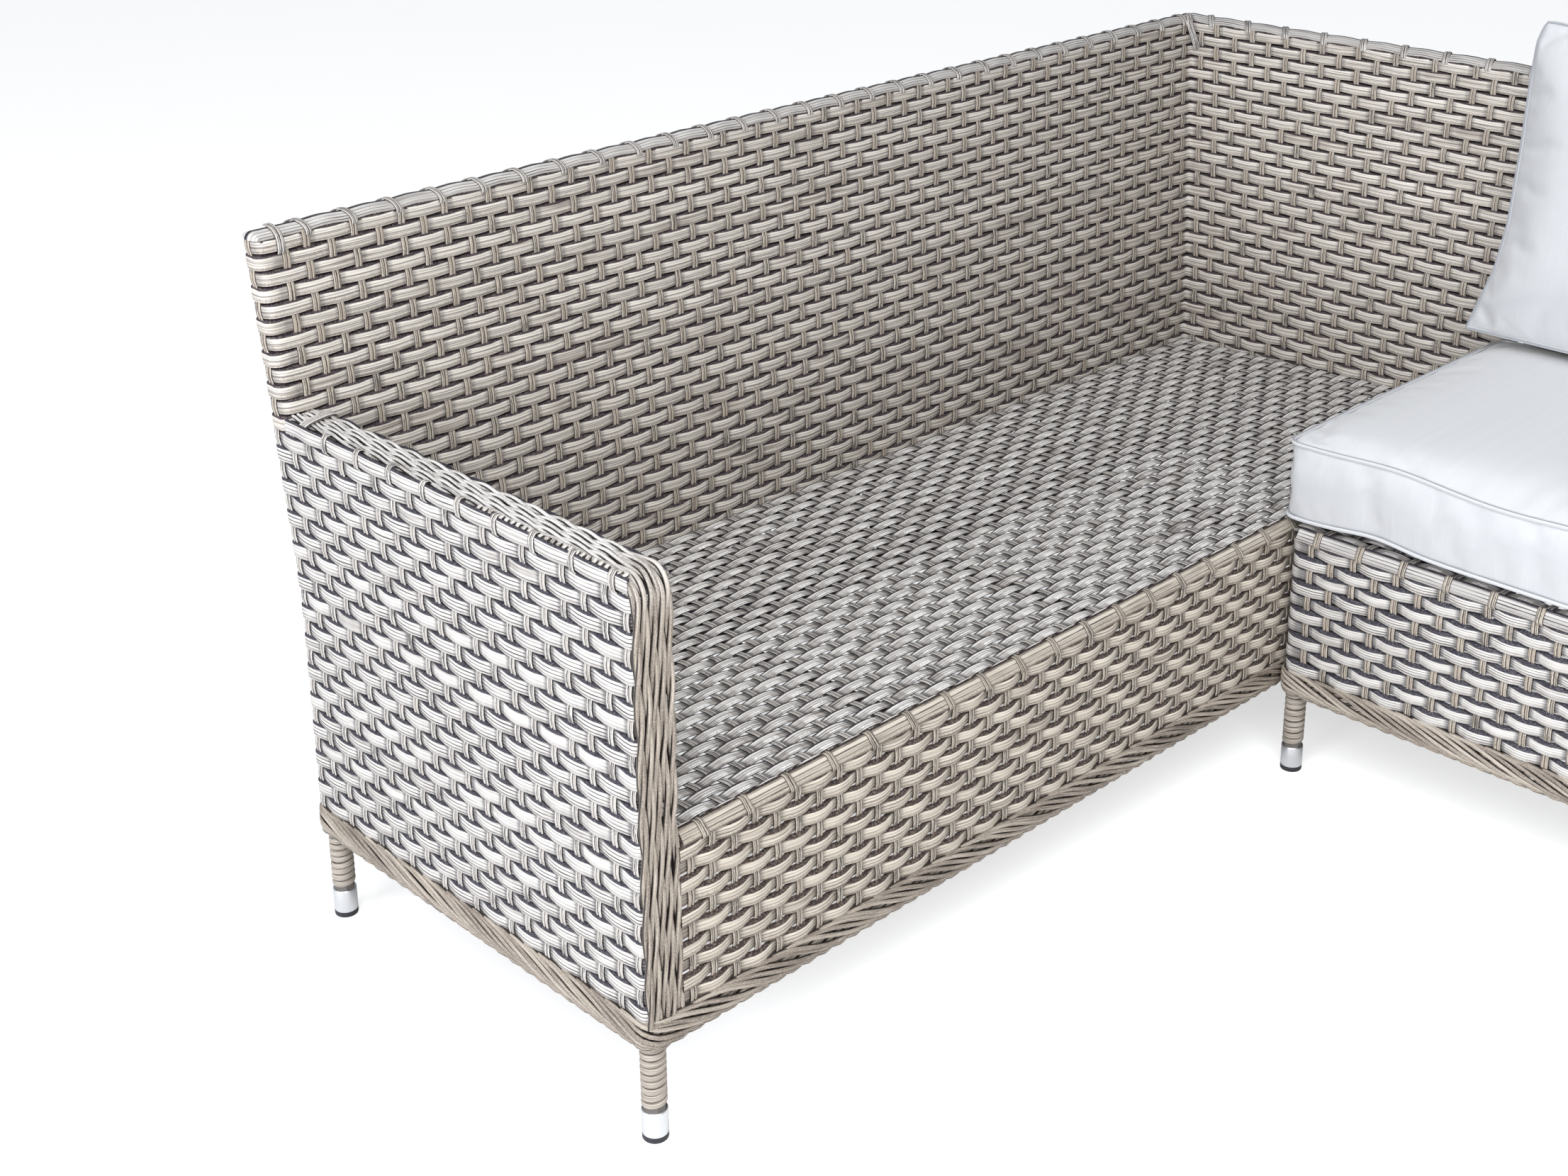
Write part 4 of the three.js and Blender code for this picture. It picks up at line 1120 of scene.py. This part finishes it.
armTrim = {"section": ((-8.2, -1.2), (-7.6, 0.4), (-3.4, 1.0), (5.2, 1.0), (6.8, 0.6), (7.5, -0.2), (8.4, -1.8),
                       (-5.0, -2.4)),
           "height": 632.8, "innerDrop": 4.0, "scallop": 2.8, "step": 7.55, "firstWrap": 30.0, "wrapPitch": 60.4,
           "wrap": ((-1.6, 621.0), (1.4, 624.0), (2.7, 631.0), (2.0, 638.4), (-1.4, 642.4), (-6.0, 642.2),
                    (-9.0, 639.0)),
           "wrapWidth": 9.6, "wrapLean": 2.0, "beadPitch": 9.0, "beadRadii": (1.9, 2.7, 2.9, 2.8, 2.3)}


def buildArmTrim(name, node, place, mirrored):
    strands = Strands(place, mirrored)
    first, pitch = armTrim["firstWrap"], armTrim["wrapPitch"]
    for x, way, start, end, drop in ((0.0, -1, 8.0, 590, 0.0), (armWidth, 1, 10.0, 566, armTrim["innerDrop"])):
        rings = []
        for at in np.arange(start, end, armTrim["step"]):
            off = np.sin(np.pi * (at - first) / pitch) ** 2 if at > first else 0.0
            rings.append([(x + way * (h + 0.2 + armTrim["scallop"] * off), at,
                           armTrim["height"] - drop + v + 0.10 * off * (v + 8)) for v, h in armTrim["section"]])
        rings = np.array(rings)
        strands.add(rings if way < 0 else rings[:, ::-1], ribbonAcross if way < 0 else ribbonAcross[::-1])
        for at in np.arange(first, 560, pitch):
            centres = [(x + way * h, at + armTrim["wrapLean"] * (i / 6 - 0.5), z - drop * 1.6)
                       for i, (h, z) in enumerate(armTrim["wrap"])]
            outward = [(way * (h + 6), 0, z - 632) for h, z in armTrim["wrap"]]
            addBand(strands, centres, outward, armTrim["wrapWidth"])
        if way < 0:  # ends of the stakes, showing between this ribbon and the cords
            for at in np.arange(16.0, 250.0, armTrim["beadPitch"]):
                stub = [(x + 0.4 + 1.7 * i, at + rng.normal(0, 0.5), 636.6 + 4.6 * math.sin(i * 0.38))
                        for i in range(5)]
                # Painted light: the bead tops take part of the cords' lit colour
                addCord(strands, stub, armTrim["beadRadii"], (0, 0, 1.0), slot=2, swing=0.6)
    angles = np.radians(np.linspace(0, 180, 13))
    outward = np.array([(-math.cos(a), 0, math.sin(a) + 0.2) for a in angles])
    for lane in range(3):  # strap across the cords where they enter the back
        centres = [(25 - 25.5 * math.cos(a), 560 + 4.4 * lane - 6 * math.cos(a), 637 + 6.4 * math.sin(a) ** 0.6)
                   for a in angles]
        # Painted light: the strap takes most of the cords' lit colour
        addCord(strands, centres, 2.3, outward, slot=2, swing=0.8, flat=0.7)
    strands.build(name, ["sideWicker", "paleStakes", "cordWicker"], [node])


buildFrontEdge("long_front_edge", "long_apron_weave", "frontWicker", armWidth + 1, longLength - 16, 79.0, inLong)
buildArmTrim("long_arm_trim", "long_arm_outer_weave", inLong, False)
# The return's front edge takes the lit copy made for the side faces: painted light
buildFrontEdge("return_front_edge", "return_apron_weave", "sideWicker", 12.0, armU - 1, 42.0, inReturn)
buildArmTrim("return_arm_trim", "return_arm_outer_weave", inReturnArm, True)


# Legs: a flat strand wound round the tube, a metal cap and a glide

leg = {"pitch": 8.4, "strand": 8.0, "radius": 12.6, "top": 124.0,
       "section": ((-1.0, -0.6), (-0.8, 0.55), (-0.35, 1.0), (0.35, 1.0), (0.8, 0.55), (1.0, -0.6)),
       "across": (1.0, 0.8, 0.35, -0.35, -0.8, -1.0)}


def lathe(name, profile, centre, material, node):
    turn = 2 * np.pi * np.arange(48) / 48
    profile = np.array(profile, float)
    rings = np.stack([centre[0] + profile[:, :1] * np.cos(turn) / 1000,
                      centre[1] + profile[:, :1] * np.sin(turn) / 1000, profile[:, 1:] / 1000 + 0 * turn], -1)
    mesh = bpy.data.meshes.new(name)
    n, k = rings.shape[:2]
    faces = [(i * k + j, i * k + (j + 1) % k, (i + 1) * k + (j + 1) % k, (i + 1) * k + j)
             for i in range(n - 1) for j in range(k)]
    faces += [tuple(range(k))[::-1], tuple(range((n - 1) * k, n * k))]
    mesh.from_pydata(rings.reshape(-1, 3).tolist(), [], faces)
    mesh.polygons.foreach_set("use_smooth", [len(face) == 4 for face in faces])
    mesh.materials.append(finishes[material])
    mesh.update()
    piece = linked(name, mesh)
    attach(piece, "base")
    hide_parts(node)


def buildLeg(module, letter):
    winding = f"{module}_leg_{letter}_winding"
    low, high = (np.array(c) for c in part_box(winding))
    centre = (low + high) / 2
    ground = (centre - origin) * 1000
    bottom = low[2] * 1000
    strands = Strands()
    turns = (leg["top"] - bottom - leg["strand"]) / leg["pitch"]
    angle = np.linspace(0, 2 * np.pi * turns, round(turns * 20))
    z = bottom + leg["strand"] / 2 + leg["pitch"] * angle / (2 * np.pi)
    wobble = np.interp(angle, np.linspace(0, angle[-1], 18), rng.normal(0, 0.25, 18))
    rings = []
    for a, height in zip(angle, z + wobble):
        out = np.array([math.cos(a), math.sin(a), 0])
        rings.append([(ground[0], ground[1], height + leg["strand"] / 2 * v) + out * (leg["radius"] + 1.3 * h)
                      for v, h in leg["section"]])
    strands.add(np.array(rings)[:, ::-1], leg["across"])
    strands.build(f"{module}_leg_{letter}_wound", ["windingWicker"], [winding])
    for part, material, slot in (("cap", "capMetal", "leg_cap"), ("glide", "glidePlastic", "glide")):
        node = f"{module}_leg_{letter}_{part}"
        low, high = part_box(node)
        radius = (high[0] - low[0]) * 500
        bottom, top = low[2] * 1000, high[2] * 1000
        profile = [(radius - 1.2, bottom), (radius - 0.35, bottom + 0.35), (radius, bottom + 1.2),
                   (radius, top - 1.4), (radius - 0.4, top - 0.4), (radius - 1.4, top)]
        lathe(node + "_turned", profile, centre, material, node)


for module in ("long", "return"):
    for letter in "abcd":
        buildLeg(module, letter)
print("legs built")


# Cushions, stuffed by a cloth simulation between their seams

pad = {"startY": 9.0, "pitch": 524.0, "width": 522.0, "depth": 546.0, "lowSeam": 363.0, "topSeam": 463.5,
       "under": 353.5, "crown": 12.0, "corner": 16.0, "rows": 52, "sideRows": 9, "sideBow": 2.0, "piping": 2.9,
       "fromFront": 12, "backHeight": 445.0, "backThickness": 108.0, "drawIn": 24.0, "tilt": 15.0,
       "backFoot": (476, 499.0), "backShift": 14, "slump": 9.0, "armSide": -1030.0, "armEase": 12.0,
       "frames": 18, "seatReach": 0.010, "backReach": 0.014, "seatPucker": 0.0007, "backPucker": 0.0016}
crease = {"deep": 0.0045, "at": (0, 118, 384), "wide": (16, 34, 8), "slope": 0.10}  # in millimetres, but for deep


def eased(count):
    even = np.linspace(-1, 1, count + 1)
    return 0.65 * even + 0.35 * np.sin(even * np.pi / 2)


def swell(s, t, power):
    return ((1 - s ** 6) * (1 - t ** 6) * (1 - 0.35 * (s * s + t * t) / 2)) ** power


def rounded(s, t, halfX, halfY, radius):  # a square of shares spread over a rectangle with round corners
    ring = np.maximum(np.abs(s), np.abs(t))
    safe = np.maximum(ring, 1e-6)
    x, y = s / safe * halfX, t / safe * halfY
    cx, cy = np.clip(x, radius - halfX, halfX - radius), np.clip(y, radius - halfY, halfY - radius)
    reach = np.maximum(np.hypot(x - cx, y - cy), 1e-6)
    inner = ring ** 5
    edgeX, edgeY = cx + radius * (x - cx) / reach, cy + radius * (y - cy) / reach
    return (1 - inner) * s * halfX + inner * ring * edgeX, (1 - inner) * t * halfY + inner * ring * edgeY


class Shell:  # an upper and a lower grid, joined by rows round the side
    def __init__(self, upper, lower, between=0, bulge=0.0):
        n = upper.shape[0]
        index = np.arange(n * n).reshape(n, n)
        rim = np.concatenate([index[0, :-1], index[:-1, -1], index[-1, :0:-1], index[:0:-1, 0]])
        self.points = [upper.reshape(-1, 3), lower.reshape(-1, 3)]
        quads = np.stack([index[:-1, :-1], index[1:, :-1], index[1:, 1:], index[:-1, 1:]], -1).reshape(-1, 4)
        self.faces = [quads, quads[:, ::-1] + n * n]
        self.rims = [rim, rim + n * n]
        top, bottom = self.points[0][rim], self.points[1][rim]
        outward = top - top.mean(0)
        outward[:, 2] = 0
        outward = unit(outward)
        previous, count = rim, 2 * n * n
        for row in range(between):
            share = (row + 1) / (between + 1)
            bow = 4 * share * (1 - share) * bulge
            self.points.append(top * (1 - share) + bottom * share + outward * bow)
            current = count + np.arange(len(rim))
            self.faces.append(np.stack([previous, np.roll(previous, -1), np.roll(current, -1), current], -1))
            previous, count = current, count + len(rim)
        last = rim + n * n
        self.faces.append(np.stack([previous, np.roll(previous, -1), np.roll(last, -1), last], -1))
        self.points = np.concatenate(self.points)
        self.faces = np.concatenate(self.faces)


def seatShell():
    s, t = np.meshgrid(eased(pad["rows"]), eased(pad["rows"]), indexing="ij")
    x, y = rounded(s, t, pad["depth"] / 2 - 1.5, pad["width"] / 2 - 1.5, pad["corner"])
    front = np.clip(-s, 0, 1) ** 6  # both seams wander along the front
    sag = 5 * np.exp(-((t - 0.42) / 0.26) ** 2) - 5 * np.exp(-((t + 0.15) / 0.3) ** 2) - 1
    rise = 7 * np.exp(-((t - 0.48) / 0.2) ** 2) - 1.5 * np.exp(-((t - 0.9) / 0.15) ** 2)
    upper = np.stack([x, y, pad["topSeam"] + front * sag + pad["crown"] * swell(s, t, 0.5)], -1)
    belly = (pad["lowSeam"] - pad["under"]) * swell(s, t, 0.35)
    lower = np.stack([x, y, pad["lowSeam"] + front * rise - belly], -1)
    return Shell(upper, lower, pad["sideRows"], pad["sideBow"])


def backShell():
    s, t = np.meshgrid(eased(pad["rows"]), eased(pad["rows"]), indexing="ij")  # s up the cushion, t across it
    softer = 7 * (s * t) ** 10 * (s > 0)  # the top corners are softer than the lower ones
    drawn = np.interp(s, [-1, -0.6, -0.3, 0.2, 0.6, 0.85, 1], [0, 20, 23, 14, 4, -1, 1])
    x = s * (pad["backHeight"] / 2 - 2 - softer - pad["drawIn"] * (1 - t * t) * np.interp(s, [-1, 0.4], [0.05, 1]))
    y = t * (pad["width"] / 2 - 2 - softer - drawn)
    half = 2.0 + (pad["backThickness"] / 2 - 9) * swell(s, t, 0.75) * (1 - 0.1 * s)
    return Shell(np.stack([x, y, half], -1), np.stack([x, y, -half], -1))


def startCloth(piece, pinned):
    held = piece.vertex_groups.new(name="seams")
    held.add([int(i) for i in pinned], 1.0, "REPLACE")
    cloth = piece.modifiers.new("stuffing", "CLOTH")
    settings = cloth.settings
    settings.vertex_group_mass = "seams"
    settings.use_pressure = True
    settings.uniform_pressure_force = 4.0
    settings.shrink_min = -0.02
    settings.quality = 6
    settings.mass = 0.3
    settings.tension_stiffness = settings.compression_stiffness = 12
    settings.bending_stiffness = 1.2
    settings.effector_weights.gravity = 0.0


tilt = math.radians(pad["tilt"])
backFront = np.array([-math.cos(tilt), 0, math.sin(tilt)])
backUp = np.array([math.sin(tilt), 0, math.cos(tilt)])


def placed(points, kind, number):
    middle = pad["startY"] - pad["width"] / 2 - (number - 1) * pad["pitch"]
    if kind == "seat":
        return points + (form["returnX"] + pad["fromFront"] + pad["depth"] / 2, middle, 0.0)
    fromFront, height = pad["backFoot"]
    foot = np.array([form["returnX"] + fromFront, middle + pad["backShift"] * (2 - number), height])
    turned = foot + backUp * (points[:, :1] + pad["backHeight"] / 2) + np.array([0, 1.0, 0]) * points[:, 1:2]
    turned = turned + backFront * points[:, 2:]
    turned[:, 1] -= pad["slump"] * (points[:, 0] / pad["backHeight"] + 0.5)  # a little to the open side
    return turned


def stuffed(piece, kind, start):
    settled = np.empty(len(start) * 3)
    piece.evaluated_get(depsgraph).data.vertices.foreach_get("co", settled)
    moved = settled.reshape(-1, 3) - start
    reach = pad[kind + "Reach"]
    length = np.linalg.norm(moved, axis=1, keepdims=True)
    print(f"{piece.name}: moved up to {length.max() * 1000:.1f} mm")
    return start + moved * (reach * np.tanh(length / reach) / np.maximum(length, 1e-9))


def clearOfArm(settled):  # the outer side stays clear of the arm, also when it is lifted past the cords
    ease = pad["armEase"] / 1000
    past = np.maximum(0, origin[1] + pad["armSide"] / 1000 + ease - settled[:, 1])
    settled[:, 1] += past - ease * np.tanh(past / ease)


def puckered(settled, kind, shell):  # small folds that run out from the seams
    rims = np.concatenate(shell.rims)
    gap = np.linalg.norm(settled[:, None] - settled[rims][None], axis=2)
    nearest, seam = gap.argmin(1), gap.min(1)
    steps = np.linalg.norm(np.diff(settled[rims], axis=0, prepend=settled[rims][:1]), axis=1)
    run = np.cumsum(steps)[nearest]
    pucker = np.sin(run / 0.0043 + 2.2 * np.sin(run / 0.021)) * np.exp(-seam / 0.020) * np.minimum(1, seam / 0.006)
    away = unit(settled - settled.mean(0)) if kind == "seat" else np.sign(shell.points[:, 2:]) * backFront
    return settled + away * pucker[:, None] * pad[kind + "Pucker"]


def creaseFront(settled, points):  # low in the front, beside the corner
    x, y, z = points.T
    atX, atY, atZ = crease["at"]
    wideX, wideY, wideZ = crease["wide"]
    fold = np.exp(-((x + pad["depth"] / 2 - atX) / wideX) ** 2 - ((y - atY) / wideY) ** 2
                  - ((z - atZ - crease["slope"] * (atY - y)) / wideZ) ** 2)
    settled[:, 0] += crease["deep"] * fold


def pipe(settled, name, kind, number, shell):
    piping = Strands(lambda points: points)
    rims = [(settled[rim] - origin) * 1000 for rim in shell.rims]
    for course in rims if kind == "seat" else [(rims[0] + rims[1]) / 2]:
        out = unit(course - course.mean(0))
        addCord(piping, course + out * 1.6, pad["piping"], out, 8, loop=True)
    return piping.build(name + "_piping", ["cushionLinen"], (), f"{kind}_{number}")


def joinPiping(piece, cord):  # the cushion, subdivided once, and its piping become one mesh
    smooth = piece.modifiers.new("smooth", "SUBSURF")
    smooth.levels = smooth.render_levels = 1
    finer = bpy.data.meshes.new_from_object(piece.evaluated_get(bpy.context.evaluated_depsgraph_get()))
    piece.modifiers.clear()
    joined = bmesh.new()
    joined.from_mesh(finer)
    joined.from_mesh(cord.data)
    joined.to_mesh(piece.data)
    joined.free()
    bpy.data.objects.remove(cord)


cushions = []
for number in (1, 2):
    for kind, shell in (("seat", seatShell()), ("back", backShell())):
        name = f"{kind}_cushion_{number}"
        start = toWorld(placed(shell.points, kind, number))
        mesh = quadMesh(name, start, shell.faces)
        mesh.update(calc_edges=True)
        mesh.materials.append(finishes["cushionLinen"])
        piece = linked(name + "_stuffed", mesh)
        cushions.append((piece, name, kind, number, shell, start))
        startCloth(piece, np.concatenate(shell.rims))

for step in range(1, pad["frames"] + 1):
    scene.frame_set(step)
depsgraph = bpy.context.evaluated_depsgraph_get()
for piece, name, kind, number, shell, start in cushions:
    settled = stuffed(piece, kind, start)
    piece.modifiers.clear()
    piece.vertex_groups.clear()
    if name == "seat_cushion_2":
        clearOfArm(settled)
    settled = puckered(settled, kind, shell)
    if name == "seat_cushion_1":
        creaseFront(settled, shell.points)
    piece.data.vertices.foreach_set("co", settled.ravel())
    piece.data.attributes.new("strand", "FLOAT_VECTOR", "POINT")  # stays 0, so only the piping gets the painted shade beside it
    joinPiping(piece, pipe(settled, name, kind, number, shell))
    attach(piece, f"{kind}_{number}")
    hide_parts(name)
    print(f"{name}: {len(piece.data.polygons)} faces")
    depsgraph = bpy.context.evaluated_depsgraph_get()
scene.frame_set(1)


# Tube frames and clips keep their solids
for node, material in (("long_seat_frame", "tubePaint"), ("long_upper_frame", "tubePaint"),
                       ("return_seat_frame", "tubePaint"), ("return_upper_frame", "tubePaint"),
                       ("joining_clip_1", "capMetal"), ("joining_clip_2", "capMetal")):
    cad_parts[node].data.materials.clear()
    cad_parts[node].data.materials.append(finishes[material])


# Floor and light
lighting = {"sky": 0.34, "skyColour": (0.93, 0.96, 1.0, 1), "glow": 0.60, "floor": (0.90, 0.90, 0.90),
            "floorPale": (0.93, 0.93, 0.93), "floorHalf": 9}
lamps = {  # place, aim, power, size, colour
    "left": ((-6.0, 0.40, 1.70), (-0.3, 0.2, 0.45), 215, (3.0, 2.0), (0.92, 0.95, 1.0)),
    "front": ((-1.7, -2.2, 1.0), (-0.4, 0.0, 0.25), 10, (2.0, 1.2), (1.0, 0.96, 0.90)),
    "above": ((-1.8, -1.1, 2.6), (-0.4, 0, 0), 90, (2.4, 2.4), (0.97, 0.985, 1.0)),
}


def addSky():
    world = bpy.data.worlds.new("surroundings")
    scene.world = world
    world.use_nodes = True
    tree = world.node_tree
    background = tree.nodes["Background"]
    white = tree.nodes.new("ShaderNodeBackground")
    mix = tree.nodes.new("ShaderNodeMixShader")
    path = tree.nodes.new("ShaderNodeLightPath")
    background.inputs["Color"].default_value = lighting["skyColour"]
    background.inputs["Strength"].default_value = lighting["sky"]
    white.inputs["Color"].default_value = (1, 1, 1, 1)
    tree.links.new(path.outputs["Is Camera Ray"], mix.inputs[0])
    tree.links.new(background.outputs[0], mix.inputs[1])
    tree.links.new(white.outputs[0], mix.inputs[2])
    tree.links.new(mix.outputs[0], tree.nodes["World Output"].inputs["Surface"])


def addLamp(name, place, aim, power, size, colour):
    data = bpy.data.lights.new(name, "AREA")
    data.shape = "RECTANGLE"
    data.size, data.size_y = size
    data.energy = power
    data.color = colour
    lamp = linked(name, data)
    lamp.location = place
    lamp.rotation_euler = (Vector(aim) - Vector(place)).to_track_quat("-Z", "Y").to_euler()
    lamp.visible_camera = False


def addFloor():
    f = Finish("paleFloor")
    colour = f.blend(f.noise(f.place(), 4.0), lighting["floor"], lighting["floorPale"])
    seen = f.node("ShaderNodeLightPath", output="Is Camera Ray")
    f.finish(colour, 0.9, Emission_Color=f.blend(seen, (0, 0, 0), (1, 1, 1)), Emission_Strength=lighting["glow"])
    mesh = bpy.data.meshes.new("floor")
    half = lighting["floorHalf"]
    mesh.from_pydata([(-half, -half, 0), (half, -half, 0), (half, half, 0), (-half, half, 0)], [], [(0, 1, 2, 3)])
    mesh.materials.append(f.material)
    floor = linked("floor", mesh)


addSky()
addFloor()
for name, (place, aim, power, extent, colour) in lamps.items():
    addLamp(name, place, aim, power, extent, colour)
print("floor and lamps placed")
